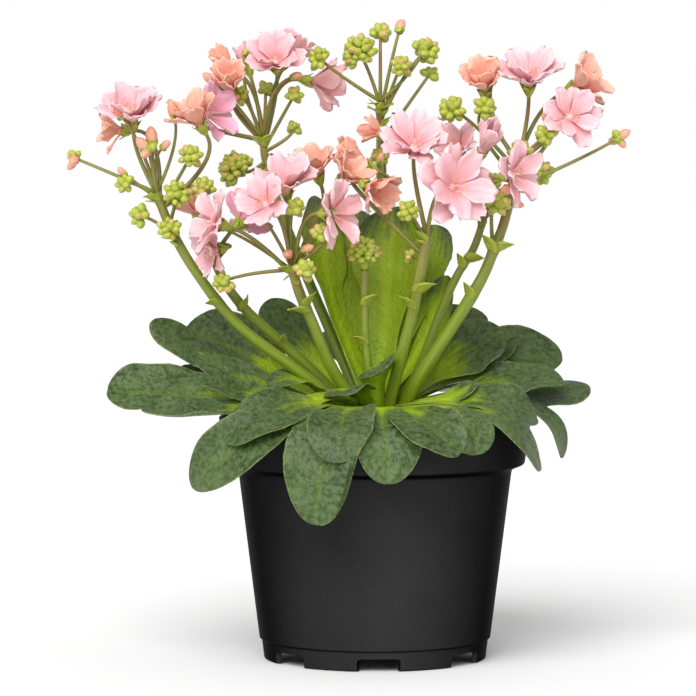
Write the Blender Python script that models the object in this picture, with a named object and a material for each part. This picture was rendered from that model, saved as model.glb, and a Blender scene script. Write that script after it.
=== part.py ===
"""Potted lewisia: a rosette of thick spoon-shaped leaves and nine flowering stems in a plastic pot.

The tables and sizes below are in millimetres and degrees. Meshes are made in metres, +Z up.
The origin is the middle of the pot's underside, and the front of the plant faces -Y.
"""

import math
import random
from collections import namedtuple

import bmesh
import bpy
from mathutils import Matrix, Vector

MM = 0.001
CLEARANCE = 0.3
GOLDEN_TURN = math.radians(137.5)

# The photo's camera, which looks along +Y past this point
CAMERA_SIDE = -10.4
CAMERA_DISTANCE = 1373.0
CAMERA_HEIGHT = 191.0

# Pot
POT_HEIGHT = 93.0
RIM_RADIUS = 60.2
RIM_FOOT_RADIUS = 57.7
RIM_FOOT_HEIGHT = 75.0
SHOULDER_RADIUS = 52.8
SHOULDER_HEIGHT = 73.0
BAND_RADIUS = 44.6
BAND_HEIGHT = 7.2
FOOT_RADIUS = 42.8
WALL = 1.3
FLOOR_UNDERSIDE = 5.2
FLOOR_TOP = 6.6
HUB_RADIUS = 8.0
POT_SIDES = 28
NOTCHES = 7
NOTCH_HEIGHT = 4.7
NOTCH_WIDTH = 20.0
NOTCH_INNER_WIDTH = 11.0
FRONT_NOTCH_TURN = -88.5
DRAIN_HOLE_RADIUS = 3.5
DRAIN_HOLE_RING = 27.0

# Soil
SOIL_EDGE_HEIGHT = 82.0
SOIL_MOUND = 3.0
SOIL_TOP = SOIL_EDGE_HEIGHT + SOIL_MOUND
SOIL_SIDES = 20
SOIL_ROUGHNESS = 0.8
SOCKET_RADIUS = 10.0
SOCKET_FLOOR = 72.0

# Crown, where leaves and stems grow
ROOT_RADIUS = SOCKET_RADIUS - CLEARANCE
CROWN_RADIUS = 15.0
CROWN_FOOT = 87.5
CROWN_TOP = 97.5
CROWN_SIDES = 14

# Leaves
MOST_LIFTS = 40
# The gaps that a leaf keeps to the rim's outside, to its top and to the soil
LEAF_PAST_RIM = 0.8
LEAF_OVER_RIM = 0.6
LEAF_OVER_SOIL = 1.0
RIM_INNER_RADIUS = 54.0
LEAF_THICKNESS = 1.7
STALK_THICKNESS = 3.4
WIDE_LEAF = 27
WIDE_SECTION = (-1.0, -0.5, 0.0, 0.5, 1.0)
NARROW_SECTION = (-1.0, 0.0, 1.0)

# A stem stands in a plain hole of the crown, which follows this share of its route.
SOCKET_SHARE = 0.58

# Flowers
PETAL_THICKNESS = 1.3
CALYX_RADIUS = 2.3
CALYX_LENGTH = 5.0
BUD_SIDES = 4
BRANCH_SIDES = 3
STEM_SIDES = 5
# How far down the stem's top the branches of one hub are spread, as a share of the route.
HUB_SPREAD = 0.12
HEART_SIDES = 4
STEM_RINGS = 8
# The share of a bunch's buds that the solid shows, each a little larger than in life.
BUDS_SHOWN = 0.22
MOST_PETALS = 6

# tip: where the leaf ends. over: a point that its rib passes on the way there.
# rise: its slope where it leaves the crown. roll: how far the blade turns about its rib.
Leaf = namedtuple("Leaf", "tip over width rise roll")

OUTER_LEAVES = (
    Leaf((-103, -5, 103), (-65, -5, 101), 29, 10, -38),
    Leaf((-88, -30, 98), (-58, -30, 97), 20, 10, -14),
    Leaf((-77, 12, 110), (-58, 10, 103), 22, 12, -30),
    Leaf((-56, -58, 86), (-35, -53, 95), 22, 2, -26),
    Leaf((-69, -49, 72), (-38, -57, 86), 24, 34, -46),
    Leaf((-22, -72, 58), (-16, -60, 95), 31, 2, 0),
    Leaf((5, -72, 73), (3, -61, 95), 27, 2, 0),
    Leaf((31, -68, 84), (17, -60, 95), 25, 2, 12),
    Leaf((39, -56, 83), (31, -51, 96), 21, 2, 14),
    Leaf((62, -32, 75), (48, -42, 95), 14, 2, 18),
    Leaf((61, -18, 94), (38, -27, 98), 22, 8, 32),
    Leaf((72, -2, 77), (63, -5, 95), 14, 14, 20),
    Leaf((73, 5, 106), (48, 3, 102), 26, 12, 24),
    Leaf((84, 15, 103), (60, 12, 100), 26, 10, 24),
    Leaf((74, 30, 114), (51, 25, 113), 30, 24, 40),
    Leaf((62, 52, 97), (44, 36, 101), 26, 14, 0),
    Leaf((36, 76, 96), (24, 50, 101), 27, 14, 0),
    Leaf((8, 86, 92), (6, 57, 101), 27, 14, 0),
    Leaf((-22, 82, 97), (-16, 54, 102), 26, 14, 0),
    Leaf((-48, 68, 99), (-32, 45, 102), 26, 14, 0),
    Leaf((-70, 46, 102), (-47, 32, 103), 25, 14, -8),
)
MIDDLE_LEAVES = (
    Leaf((-87, 20, 129), (-60, 14, 112), 19, 24, -32),
    Leaf((-74, 35, 126), (-49, 25, 114), 30, 26, -38),
    Leaf((-68, -5, 116), (-43, -8, 105), 15, 18, -45),
    Leaf((-67, -18, 108), (-38, -16, 100), 13, 12, -36),
    Leaf((-14, -76, 81), (-12, -62, 97), 25, 4, 0),
    Leaf((51, 18, 123), (31, 14, 114), 27, 34, 38),
    Leaf((43, 35, 131), (26, 25, 119), 24, 38, 26),
    Leaf((56, 34, 122), (35, 24, 113), 25, 26, 26),
    Leaf((-41, 30, 137), (-28, 20, 119), 22, 42, -20),
    Leaf((20, 66, 122), (13, 42, 115), 26, 36, 0),
    Leaf((-10, 68, 122), (-7, 43, 115), 26, 36, 0),
    Leaf((-40, 56, 125), (-26, 36, 116), 25, 36, 0),
)
INNER_LEAVES = (
    Leaf((-22, 18, 177), (-19, 8, 144), 26, 68, 12),
    Leaf((7, 20, 173), (5, 9, 141), 28, 74, -6),
    Leaf((-7, 32, 172), (-6, 20, 141), 22, 72, 0),
    Leaf((24, 35, 166), (15, 20, 138), 24, 62, 0),
    Leaf((28, 10, 147), (20, 8, 122), 18, 54, 24),
)
SMALL_LEAVES = (
    Leaf((-41, -16, 106), (-27, -12, 107), 17, 40, -10),
    Leaf((-14, -38, 103), (-9, -26, 105), 22, 50, 10),
    Leaf((1, -29, 111), (0, -18, 112), 18, 72, 26),
    Leaf((39, -21, 107), (23, -18, 99), 13, 20, 30),
)
# The distance from the axis and the height at which each group leaves the crown.
ROOT_OF_OUTER = (7.0, 95.0)
ROOT_OF_MIDDLE = (6.0, 92.5)
ROOT_OF_INNER = (1.5, 94.0)
ROOT_OF_SMALL = (10.0, 94.0)
# How wide each group's stalks are
OUTER_STALK = 7.0
MIDDLE_STALK = 7.5
INNER_STALK = 12.0
SMALL_STALK = 8.5

# route: points that the main stem passes. foot and top: its radius at both ends.
Stem = namedtuple("Stem", "name route foot top")
# A bloom's seat is where its petals meet. facing: turn and rise of the way that it looks.
# spread: 0 closed to 1 flat open. stem and at: which stem carries it and how far up the branch leaves.
Bloom = namedtuple("Bloom", "name seat turn rise reach spread petals stem at")
# A bud spray ends a branch: number of buds, bud length and the radius of the bunch.
Spray = namedtuple("Spray", "seat turn rise count bud bunch stem at")
# A bract is a small leaf on a stem.
Bract = namedtuple("Bract", "stem at turn length")

STEMS = (
    Stem("far_left", ((-8, -3.5, 94), (-29, -9, 112), (-52, -11, 130), (-68, -12, 150),
                      (-78, -12, 167), (-84, -12, 182)), 2.7, 2.0),
    Stem("left", ((-7.5, 2.5, 94), (-26, 1, 113), (-38, 0, 124), (-51, -4, 137),
                  (-59, -8, 149), (-64, -10, 162)), 2.8, 1.9),
    Stem("rear_left", ((-4, 8, 94), (-17, 17, 124), (-29, 21, 152), (-38, 22, 176),
                       (-42, 22, 190), (-43, 22, 198)), 2.5, 1.7),
    Stem("front_left", ((-3, -7, 93), (-16, -13, 113), (-24, -17, 132), (-29, -19, 144),
                        (-32, -20, 154)), 2.8, 2.2),
    Stem("rear_middle", ((4, 8, 94), (5, 24, 124), (4, 34, 152), (2, 33, 180),
                         (2, 22, 213)), 2.4, 1.7),
    Stem("middle", ((1, -11, 95), (-3, -11, 118), (-4, -10, 138), (-4, -10, 152)), 1.9, 1.7),
    Stem("front_right", ((4, -7, 93), (9, -14, 115), (13, -17, 130), (16, -19, 144),
                         (18, -20, 156), (20, -20, 166)), 2.8, 2.3),
    Stem("right", ((7, 4, 94), (17, -4, 113), (26, -6, 137), (32, -7, 150),
                   (38, -7, 160), (42, -7, 172)), 2.2, 1.7),
    Stem("far_right", ((9, -3, 94), (17, -11, 110), (27, -13, 126), (37, -14, 142),
                       (42, -14, 151), (46, -14, 161), (50, -13, 172), (55, -12, 194)),
         3.2, 2.1),
)

BLOOMS = (
    Bloom("01", (-93, -12, 209.5), 268, 62, 14, 0.62, 9, "far_left", 1.0),
    Bloom("02", (-97, -4, 205), 190, 0, 9, 0.50, 6, "far_left", 1.0),
    Bloom("03", (-66, 6, 210), 330, 10, 13, 0.75, 8, "rear_left", 1.0),
    Bloom("04", (-67, -10, 208), 215, 55, 12.5, 0.50, 8, "far_left", 1.0),
    Bloom("05", (-55.5, 14, 218), 265, 45, 11.5, 0.32, 8, "rear_left", 1.0),
    Bloom("06", (-55, 26, 226), 165, 40, 9, 0.20, 6, "rear_left", 1.0),
    Bloom("07", (-49, 30, 225.5), 150, 70, 8, 0.20, 5, "rear_left", 1.0),
    Bloom("08", (-38, 18, 227), 266, 42, 13, 0.60, 9, "rear_left", 1.0),
    Bloom("09", (-34, 27, 228), 30, 60, 11.5, 0.50, 7, "rear_left", 1.0),
    Bloom("10", (-25, 29, 220), 8, -6, 13.5, 0.50, 8, "rear_left", 1.0),
    Bloom("11", (-41, -30, 179), 240, 24, 11.5, 0.70, 8, "front_left", 1.0),
    Bloom("12", (-34, -16, 183), 262, 58, 13.5, 0.65, 9, "front_left", 1.0),
    Bloom("13", (-22, -3, 187.5), 240, 56, 11.5, 0.50, 8, "front_left", 1.0),
    Bloom("14", (-12.5, -8.5, 186.5), 325, 42, 11, 0.60, 8, "front_left", 1.0),
    Bloom("15", (-18, -28, 176), 330, 2, 13.5, 0.80, 8, "front_left", 1.0),
    Bloom("16", (-59.5, -26, 171.5), 208, 16, 12.5, 0.80, 8, "front_left", 1.0),
    Bloom("17", (-60.5, -19, 160.5), 215, -14, 10, 0.70, 7, "left", 1.0),
    Bloom("18", (-68, -5, 172.5), 165, 56, 10, 0.32, 7, "left", 1.0),
    Bloom("19", (-52, -10, 170), 60, 26, 11, 0.60, 7, "left", 1.0),
    Bloom("20", (15, -24, 200), 272, 42, 13.5, 0.72, 9, "front_right", 1.0),
    Bloom("21", (28.5, -32, 186.5), 300, 10, 15.5, 0.85, 10, "front_right", 1.0),
    Bloom("22", (32.5, -1, 196), 250, 40, 10.5, 0.60, 8, "right", 1.0),
    Bloom("23", (41, -22, 199), 304, 52, 13, 0.10, 5, "right", 1.0),
    Bloom("24", (3, 5, 203), 165, 20, 8, 0.40, 6, "rear_middle", 0.93),
    Bloom("25", (-3, 2, 191), 196, 28, 12.5, 0.25, 7, "rear_middle", 0.82),
    Bloom("26", (-3, -19, 185.5), 322, -20, 12, 0.45, 7, "front_right", 0.94),
    Bloom("27", (42, -8, 221), 262, 52, 12, 0.42, 8, "far_right", 1.0),
    Bloom("28", (59, -10, 223), 268, 62, 14, 0.65, 9, "far_right", 1.0),
    Bloom("29", (76, -2, 221.5), 350, 28, 13, 0.60, 8, "far_right", 1.0),
    Bloom("30", (74, -16, 211), 290, 20, 11.5, 0.80, 9, "far_right", 1.0),
    Bloom("31", (51, -26, 190.5), 325, 8, 12.5, 0.75, 8, "right", 1.0),
)

SPRAYS = (
    Spray((-115, -10, 195), 160, 20, 5, 6.0, 2.4, "far_left", 1.0),
    Spray((-96, -14, 186), 210, -10, 5, 3.6, 2.6, "far_left", 0.98),
    Spray((-87, -18, 199), 250, 60, 4, 6.4, 2.6, "far_left", 1.0),
    Spray((-71, -14, 196), 300, 40, 7, 3.8, 3.4, "far_left", 0.98),
    Spray((-76, -18, 182), 280, 40, 9, 3.8, 4.0, "far_left", 0.90),
    Spray((-90, -12, 173), 190, 10, 5, 4.4, 3.2, "far_left", 0.86),
    Spray((-79, -18, 169), 260, -10, 7, 3.6, 3.2, "far_left", 0.84),
    Spray((-66, -12, 183), 200, 70, 9, 3.6, 3.6, "left", 1.0),
    Spray((-58, -22, 149), 215, -20, 7, 3.6, 3.2, "front_left", 0.98),
    Spray((-53, 12, 188), 180, 40, 26, 3.6, 5.6, "rear_left", 0.80),
    Spray((-31, 24, 202), 60, 50, 3, 3.8, 1.8, "rear_left", 0.90),
    Spray((-52, 18, 216), 240, 10, 5, 3.8, 2.8, "rear_left", 1.0),
    Spray((-42, 24, 217), 90, 60, 3, 4.2, 2.0, "rear_left", 1.0),
    Spray((-31, 17, 216), 300, 40, 4, 4.0, 2.4, "rear_left", 1.0),
    Spray((-27, -29, 154), 300, 30, 5, 4.2, 2.8, "front_left", 0.96),
    Spray((-31, -26, 178), 290, 20, 5, 4.4, 2.6, "front_left", 1.0),
    Spray((-21, -25, 168), 300, 10, 5, 4.0, 2.6, "front_left", 1.0),
    Spray((-21, 16, 230), 200, 40, 7, 3.8, 3.4, "rear_middle", 1.0),
    Spray((-6, 20, 232), 220, 50, 22, 3.8, 5.4, "rear_middle", 1.0),
    Spray((2, 22, 239), 90, 70, 6, 4.4, 3.0, "rear_middle", 1.0),
    Spray((9, 24, 239), 60, 60, 1, 6.4, 0.4, "rear_middle", 1.0),
    Spray((19, 22, 232), 20, 40, 12, 4.0, 4.4, "rear_middle", 1.0),
    Spray((10, 16, 227), 300, 40, 7, 3.8, 3.0, "rear_middle", 1.0),
    Spray((21, 26, 223), 30, 50, 3, 4.0, 1.8, "rear_middle", 0.96),
    Spray((2, 14, 193), 250, 0, 5, 4.2, 2.6, "rear_middle", 0.78),
    Spray((-4, -10, 158), 270, 84, 26, 3.4, 5.0, "middle", 1.0),
    Spray((13, -29, 177), 240, 30, 7, 3.8, 3.2, "front_right", 0.96),
    Spray((14, -16, 158), 150, 10, 3, 3.6, 1.8, "front_right", 0.90),
    Spray((30, -12, 214), 220, 20, 12, 4.0, 4.2, "far_right", 0.98),
    Spray((42, -16, 215), 330, 30, 7, 4.0, 3.4, "far_right", 0.98),
    Spray((66, -18, 205), 230, 10, 6, 4.2, 3.0, "far_right", 1.0),
    Spray((93, -12, 203), 20, 30, 5, 6.2, 2.6, "far_right", 0.99),
    Spray((64, -10, 190), 330, -20, 6, 4.4, 3.4, "far_right", 0.97),
    Spray((56, -18, 198), 280, 40, 6, 4.0, 3.2, "far_right", 0.98),
    Spray((47, -20, 179), 300, -10, 7, 4.4, 3.6, "far_right", 0.80),
    Spray((44, -4, 184), 120, 60, 9, 3.8, 3.8, "right", 1.0),
)

BRACTS = (
    Bract("far_left", 0.50, 230, 6),
    Bract("far_left", 0.97, 225, 7),
    Bract("left", 0.36, 300, 7),
    Bract("left", 0.60, 305, 8),
    Bract("front_left", 0.60, 222, 9),
    Bract("front_left", 0.64, 318, 9),
    Bract("front_left", 0.97, 230, 8),
    Bract("rear_left", 0.97, 225, 7),
    Bract("rear_left", 0.98, 315, 7),
    Bract("rear_middle", 0.97, 222, 7),
    Bract("rear_middle", 0.98, 318, 7),
    Bract("middle", 0.42, 225, 7),
    Bract("middle", 0.68, 310, 8),
    Bract("front_right", 0.52, 222, 9),
    Bract("front_right", 0.62, 312, 10),
    Bract("front_right", 0.97, 225, 7),
    Bract("right", 0.66, 225, 7),
    Bract("right", 0.72, 312, 8),
    Bract("far_right", 0.43, 225, 8),
    Bract("far_right", 0.70, 222, 9),
    Bract("far_right", 0.71, 318, 9),
    Bract("far_right", 0.95, 315, 7),
)

def placed(place):
    """Where a place of the stems', blooms' and sprays' tables is, which were drawn as a far camera sees them."""
    x, y, z = place
    near = 1 + y / CAMERA_DISTANCE
    height = 0.992 * z + 0.127 * y
    side = CAMERA_SIDE + (x - CAMERA_SIDE) * near
    return Vector((side, y, CAMERA_HEIGHT - (CAMERA_HEIGHT - height) * near))


STEMS = tuple(stem._replace(route=tuple(placed(p) for p in stem.route)) for stem in STEMS)
BLOOMS = tuple(bloom._replace(seat=placed(bloom.seat)) for bloom in BLOOMS)
SPRAYS = tuple(item._replace(seat=placed(item.seat)) for item in SPRAYS)

COLOURS = {
    "pot": ((0.012, 0.012, 0.013), 0.42),
    "soil": ((0.035, 0.022, 0.014), 0.95),
    "leaf": ((0.050, 0.115, 0.035), 0.40),
    "stem": ((0.230, 0.340, 0.030), 0.45),
    "petal": ((0.850, 0.330, 0.350), 0.55),
}


def clear_scene():
    for obj in list(bpy.data.objects):
        bpy.data.objects.remove(obj)


def material(name):
    found = bpy.data.materials.get(name)
    if found:
        return found
    colour, roughness = COLOURS[name]
    made = bpy.data.materials.new(name)
    made.use_nodes = True
    shader = made.node_tree.nodes["Principled BSDF"]
    shader.inputs["Base Color"].default_value = (*colour, 1.0)
    shader.inputs["Roughness"].default_value = roughness
    shader.inputs["Metallic"].default_value = 0.0
    return made


def add_object(name, points, faces, colour):
    """A mesh object in metres from points in millimetres."""
    mesh = bpy.data.meshes.new(name)
    mesh.from_pydata([Vector(p) * MM for p in points], [], faces)
    mesh.update()
    mesh.materials.append(material(colour))
    obj = bpy.data.objects.new(name, mesh)
    bpy.context.scene.collection.objects.link(obj)
    return obj


def apply_boolean(obj, operation, pieces, solver):
    """Joins or cuts obj with all the pieces at once, and removes them."""
    group = bpy.data.collections.new("pieces")
    bpy.context.scene.collection.children.link(group)
    for piece in pieces:
        bpy.context.scene.collection.objects.unlink(piece)
        group.objects.link(piece)
    boolean = obj.modifiers.new("pieces", "BOOLEAN")
    boolean.operation = operation
    boolean.operand_type = "COLLECTION"
    boolean.collection = group
    boolean.solver = solver
    bpy.context.view_layer.objects.active = obj
    bpy.ops.object.modifier_apply(modifier=boolean.name)
    for piece in list(group.objects):
        bpy.data.objects.remove(piece)
    bpy.data.collections.remove(group)


def direction(turn, rise):
    """The unit vector of a turn about the vertical and a rise above the horizon, in degrees."""
    turn, rise = math.radians(turn), math.radians(rise)
    flat = math.cos(rise)
    return Vector((math.cos(turn) * flat, math.sin(turn) * flat, math.sin(rise)))


def frame_across(axis):
    """Two unit vectors at right angles to an axis and to each other."""
    side = axis.cross(Vector((0, 0, 1)))
    if side.length < 0.05:
        side = axis.cross(Vector((0, 1, 0)))
    side.normalize()
    return side, side.cross(axis).normalized()


def smooth_step(x):
    x = min(1.0, max(0.0, x))
    return x * x * (3 - 2 * x)


def turned_solid(profile, sides):
    """Points and faces of a profile of (radius, height) turned about Z, which starts and ends on the axis."""
    ring_turns = [2 * math.pi * i / sides for i in range(sides)]
    points = [(0, 0, profile[0][1])]
    for radius, height in profile[1:-1]:
        points += [(radius * math.cos(t), radius * math.sin(t), height) for t in ring_turns]
    points.append((0, 0, profile[-1][1]))
    rings = len(profile) - 2
    faces = []
    for i in range(sides):
        j = (i + 1) % sides
        faces.append((0, 1 + j, 1 + i))
        for ring in range(rings - 1):
            low, high = 1 + ring * sides, 1 + (ring + 1) * sides
            faces.append((low + i, low + j, high + j, high + i))
        last = 1 + (rings - 1) * sides
        faces.append((last + i, last + j, len(points) - 1))
    return points, faces


def build_pot():
    """The pot's wall, floor and middle foot as one turned solid, with notches and drain holes cut in it."""
    inner_rim = RIM_FOOT_RADIUS - WALL
    profile = (
        (0, 0),
        (HUB_RADIUS, 0),
        (HUB_RADIUS + 0.5, FLOOR_UNDERSIDE),
        (FOOT_RADIUS - WALL - 0.2, FLOOR_UNDERSIDE),
        (FOOT_RADIUS - WALL - 0.4, 0),
        (FOOT_RADIUS, 0),
        (BAND_RADIUS - 0.9, BAND_HEIGHT),
        (BAND_RADIUS, BAND_HEIGHT + 0.6),
        (SHOULDER_RADIUS, SHOULDER_HEIGHT),
        (RIM_FOOT_RADIUS, RIM_FOOT_HEIGHT),
        (RIM_RADIUS, POT_HEIGHT),
        (RIM_RADIUS - WALL, POT_HEIGHT),
        (inner_rim, RIM_FOOT_HEIGHT + WALL),
        (SHOULDER_RADIUS - WALL, SHOULDER_HEIGHT + WALL),
        (BAND_RADIUS - WALL, FLOOR_TOP),
        (0, FLOOR_TOP),
    )
    pot = add_object("pot", *turned_solid(profile, POT_SIDES), "pot")
    cutters = []
    for index in range(NOTCHES):
        turn = FRONT_NOTCH_TURN + 360.0 * index / NOTCHES
        cutters.append(notch_cutter(turn))
        cutters.append(drain_cutter(turn + 180.0 / NOTCHES))
    apply_boolean(pot, "DIFFERENCE", cutters, "EXACT")
    pot.data.shade_smooth()
    pot.data.set_sharp_from_angle(angle=math.radians(25))
    return pot


def notch_cutter(turn):
    """A block through the foot, wide outside and narrow inside, with its upper corners drawn in."""
    inner, outer = FOOT_RADIUS - 6.0, FOOT_RADIUS + 3.0
    corners = []
    for reach, half in ((inner, NOTCH_INNER_WIDTH / 2), (outer, NOTCH_WIDTH / 2)):
        corners += [
            (reach, -half, -1.0),
            (reach, half, -1.0),
            (reach, half - 1.0, NOTCH_HEIGHT),
            (reach, -half + 1.0, NOTCH_HEIGHT),
        ]
    faces = ((0, 3, 2, 1), (4, 5, 6, 7), (0, 1, 5, 4), (1, 2, 6, 5), (2, 3, 7, 6), (3, 0, 4, 7))
    spin = Matrix.Rotation(math.radians(turn), 3, "Z")
    return add_object("notch", [spin @ Vector(p) for p in corners], faces, "pot")


def drain_cutter(turn):
    centre = direction(turn, 0) * DRAIN_HOLE_RING
    profile = ((0, 3.0), (DRAIN_HOLE_RADIUS, 3.0), (DRAIN_HOLE_RADIUS, 9.0), (0, 9.0))
    points, faces = turned_solid(profile, 6)
    return add_object("drain", [Vector(p) + centre for p in points], faces, "pot")


def build_soil():
    """The potting mix up to just under the rim, rough on top, with the crown's plain hole in its middle."""
    draw = random.Random(11)
    floor = FLOOR_TOP + CLEARANCE
    wall = WALL + CLEARANCE
    slope = (SHOULDER_RADIUS - BAND_RADIUS) / (SHOULDER_HEIGHT - BAND_HEIGHT)
    foot_radius = BAND_RADIUS - wall - 0.3
    side_radius = SHOULDER_RADIUS - wall - slope * 2.0
    edge_radius = RIM_FOOT_RADIUS - wall - 0.2
    rings = [
        (foot_radius, floor, 0.0),
        (side_radius, SHOULDER_HEIGHT + WALL + CLEARANCE, 0.0),
        (edge_radius, RIM_FOOT_HEIGHT + WALL + CLEARANCE, 0.0),
        (edge_radius, SOIL_EDGE_HEIGHT - 1.0, 0.3),
    ]
    for radius in (44.0, 31.0, 18.0):
        mound = SOIL_MOUND * (1 - radius / edge_radius)
        rings.append((radius, SOIL_EDGE_HEIGHT + mound, SOIL_ROUGHNESS))
    rings.append((SOCKET_RADIUS, SOIL_EDGE_HEIGHT + SOIL_MOUND, 0.0))
    rings.append((SOCKET_RADIUS, SOCKET_FLOOR, 0.0))
    points = [(0, 0, floor)]
    for radius, height, rough in rings:
        for i in range(SOIL_SIDES):
            turn = 2 * math.pi * i / SOIL_SIDES
            lift = height + draw.uniform(-rough, rough)
            points.append((radius * math.cos(turn), radius * math.sin(turn), lift))
    points.append((0, 0, SOCKET_FLOOR))
    faces = []
    for i in range(SOIL_SIDES):
        j = (i + 1) % SOIL_SIDES
        faces.append((0, 1 + j, 1 + i))
        for ring in range(len(rings) - 1):
            low, high = 1 + ring * SOIL_SIDES, 1 + (ring + 1) * SOIL_SIDES
            faces.append((low + i, low + j, high + j))
            faces.append((low + i, high + j, high + i))
        last = 1 + (len(rings) - 1) * SOIL_SIDES
        faces.append((last + i, last + j, len(points) - 1))
    return add_object("soil", points, faces, "soil")


def leaf_half_width(leaf, s, stalk):
    """Half the leaf's width a share s of the way along it: a narrow stalk, then a spoon with a blunt end."""
    foot = min(0.75, stalk / leaf.width)
    spoon = foot + (1 - foot) * smooth_step((s - 0.32) / 0.42)
    end = 1.0 if s < 0.78 else math.sqrt(max(0.0, 1 - ((s - 0.78) / 0.22) ** 2.3))
    return 0.5 * leaf.width * spoon * end


def leaf_foot(leaf, root):
    """Where the leaf leaves the crown."""
    radius, height = root
    return direction(math.degrees(math.atan2(leaf.over[1], leaf.over[0])), 0) * radius + Vector((0, 0, height))


def share_at_bend(leaf, root):
    """How far along the leaf the point is that its rib passes."""
    first = (Vector(leaf.over) - leaf_foot(leaf, root)).length
    second = (Vector(leaf.tip) - Vector(leaf.over)).length
    return min(0.72, max(0.35, first / (first + second)))


def leaf_stations(leaf, root):
    """The shares of the leaf's length at which it has a ring, one of them where the rib bends."""
    bend = share_at_bend(leaf, root)
    return 0.0, 0.5 * bend, bend, 0.5 * (bend + 0.95), 0.95


def leaf_frame(leaf, root, t):
    """Point, along, across and up at a share t of the leaf's rib."""
    tip, over = Vector(leaf.tip), Vector(leaf.over)
    foot = leaf_foot(leaf, root)
    share = share_at_bend(leaf, root)
    length = (over - foot).length + (tip - over).length
    heading = math.degrees(math.atan2(over.y, over.x))
    near = foot + direction(heading, leaf.rise) * (0.33 * length)
    left = 1 - share
    known = foot * left ** 3 + near * (3 * left * left * share) + tip * share ** 3
    far = (over - known) / (3 * left * share * share)
    u = 1 - t
    at = foot * u ** 3 + near * 3 * u * u * t + far * 3 * u * t * t + tip * t ** 3
    along = ((near - foot) * u * u + (far - near) * 2 * u * t + (tip - far) * t * t).normalized()
    chord = (tip - foot).xy.normalized()
    flat = Vector((-0.5 * along.y - chord.y, 0.5 * along.x + chord.x, 0))
    flat = (flat - along * flat.dot(along)).normalized()
    across = Matrix.Rotation(math.radians(leaf.roll) * smooth_step(t * 1.6), 3, along) @ flat
    return at, along, across, along.cross(across)


def leaf_rings(leaf, root, stalk):
    """The upper and the lower points of the leaf's ring at each station."""
    section = WIDE_SECTION if leaf.width >= WIDE_LEAF else NARROW_SECTION
    rings = []
    for s in leaf_stations(leaf, root):
        centre, _, across, up = leaf_frame(leaf, root, s)
        half = leaf_half_width(leaf, s, stalk)
        channel = 0.50 - 0.38 * smooth_step(s / 0.6)
        thick = STALK_THICKNESS + (LEAF_THICKNESS - STALK_THICKNESS) * smooth_step(s / 0.5)
        wave = 0.05 * half * math.sin(9.0 * s + leaf.tip[0])
        upper = []
        lower = []
        for u in section:
            middle = centre + across * (u * half) + up * (channel * half * u * u + wave * u * abs(u))
            half_thick = up * (thick * (1 - 0.55 * u * u) / 2) if abs(u) < 1 else Vector()
            upper.append(middle + half_thick)
            lower.append(middle - half_thick)
        rings.append((upper, lower))
    return rings


def leaf_solid(name, leaf, root, stalk):
    """A leaf as a closed blade, thick at the rib and thin at its waved margin."""
    points = []
    rings = leaf_rings(leaf, root, stalk)
    for upper, lower in rings:
        points += upper
        points += reversed(lower[1:-1])
    points.append(Vector(leaf.tip))
    return add_object(name, points, blade_faces(len(rings), len(rings[0][0])), "leaf")


def blade_faces(rings, across):
    """Triangles of a blade whose rings share their two margin points, split alike on both faces, with one tip point."""
    count = 2 * across - 2
    upper = list(range(across))
    lower = [0, *range(count - 1, across - 2, -1)]
    tip = rings * count
    faces = [tuple(range(count))]
    for ring in range(rings):
        here, there = ring * count, (ring + 1) * count
        for k in range(across - 1):
            a, b = here + upper[k], here + upper[k + 1]
            c, d = here + lower[k], here + lower[k + 1]
            if ring == rings - 1:
                faces += [(b, a, tip), (c, d, tip)]
                continue
            e, f = there + upper[k], there + upper[k + 1]
            g, h = there + lower[k], there + lower[k + 1]
            faces += [(b, a, f), (a, e, f), (c, d, h), (c, h, g)]
    return faces


def build_rosette():
    """The crown with every leaf fused into it."""
    profile = (
        (0, SOCKET_FLOOR + CLEARANCE),
        (ROOT_RADIUS - 1.5, SOCKET_FLOOR + CLEARANCE),
        (ROOT_RADIUS, SOCKET_FLOOR + 4.0),
        (ROOT_RADIUS, CROWN_FOOT - 1.0),
        (CROWN_RADIUS, CROWN_FOOT + 2.5),
        (CROWN_RADIUS - 1.5, CROWN_TOP - 2.0),
        (CROWN_RADIUS - 7.5, CROWN_TOP),
        (0, CROWN_TOP + 0.5),
    )
    crown = add_object("leaf_rosette", *turned_solid(profile, CROWN_SIDES), "leaf")
    leaves = []
    for group, root, stalk in (
        (OUTER_LEAVES, ROOT_OF_OUTER, OUTER_STALK),
        (MIDDLE_LEAVES, ROOT_OF_MIDDLE, MIDDLE_STALK),
        (INNER_LEAVES, ROOT_OF_INNER, INNER_STALK),
        (SMALL_LEAVES, ROOT_OF_SMALL, SMALL_STALK),
    ):
        leaves += [leaf_solid("leaf", raised_clear(leaf, root, stalk), root, stalk) for leaf in group]
    apply_boolean(crown, "UNION", leaves, "MANIFOLD")
    apply_boolean(crown, "DIFFERENCE", [socket_cutter(stem) for stem in STEMS], "MANIFOLD")
    drop_scraps(crown)
    return crown


def meets_pot(leaf, root, stalk):
    """Whether any part of the leaf's underside comes too near the soil or the pot's rim."""
    rings = [lower for _, lower in leaf_rings(leaf, root, stalk)]
    rings.append([Vector(leaf.tip)] * len(rings[0]))
    for here, there in zip(rings, rings[1:]):
        for step in range(9):
            row = [a.lerp(b, step / 8) for a, b in zip(here, there)]
            row += [a.lerp(b, 0.5) for a, b in zip(row, row[1:])]
            for point in row:
                radius = math.hypot(point.x, point.y)
                if RIM_INNER_RADIUS < radius < RIM_RADIUS + LEAF_PAST_RIM and point.z < POT_HEIGHT + LEAF_OVER_RIM:
                    return True
                if CROWN_RADIUS + 3.0 < radius <= RIM_INNER_RADIUS and point.z < SOIL_TOP + LEAF_OVER_SOIL:
                    return True
    return False


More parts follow.
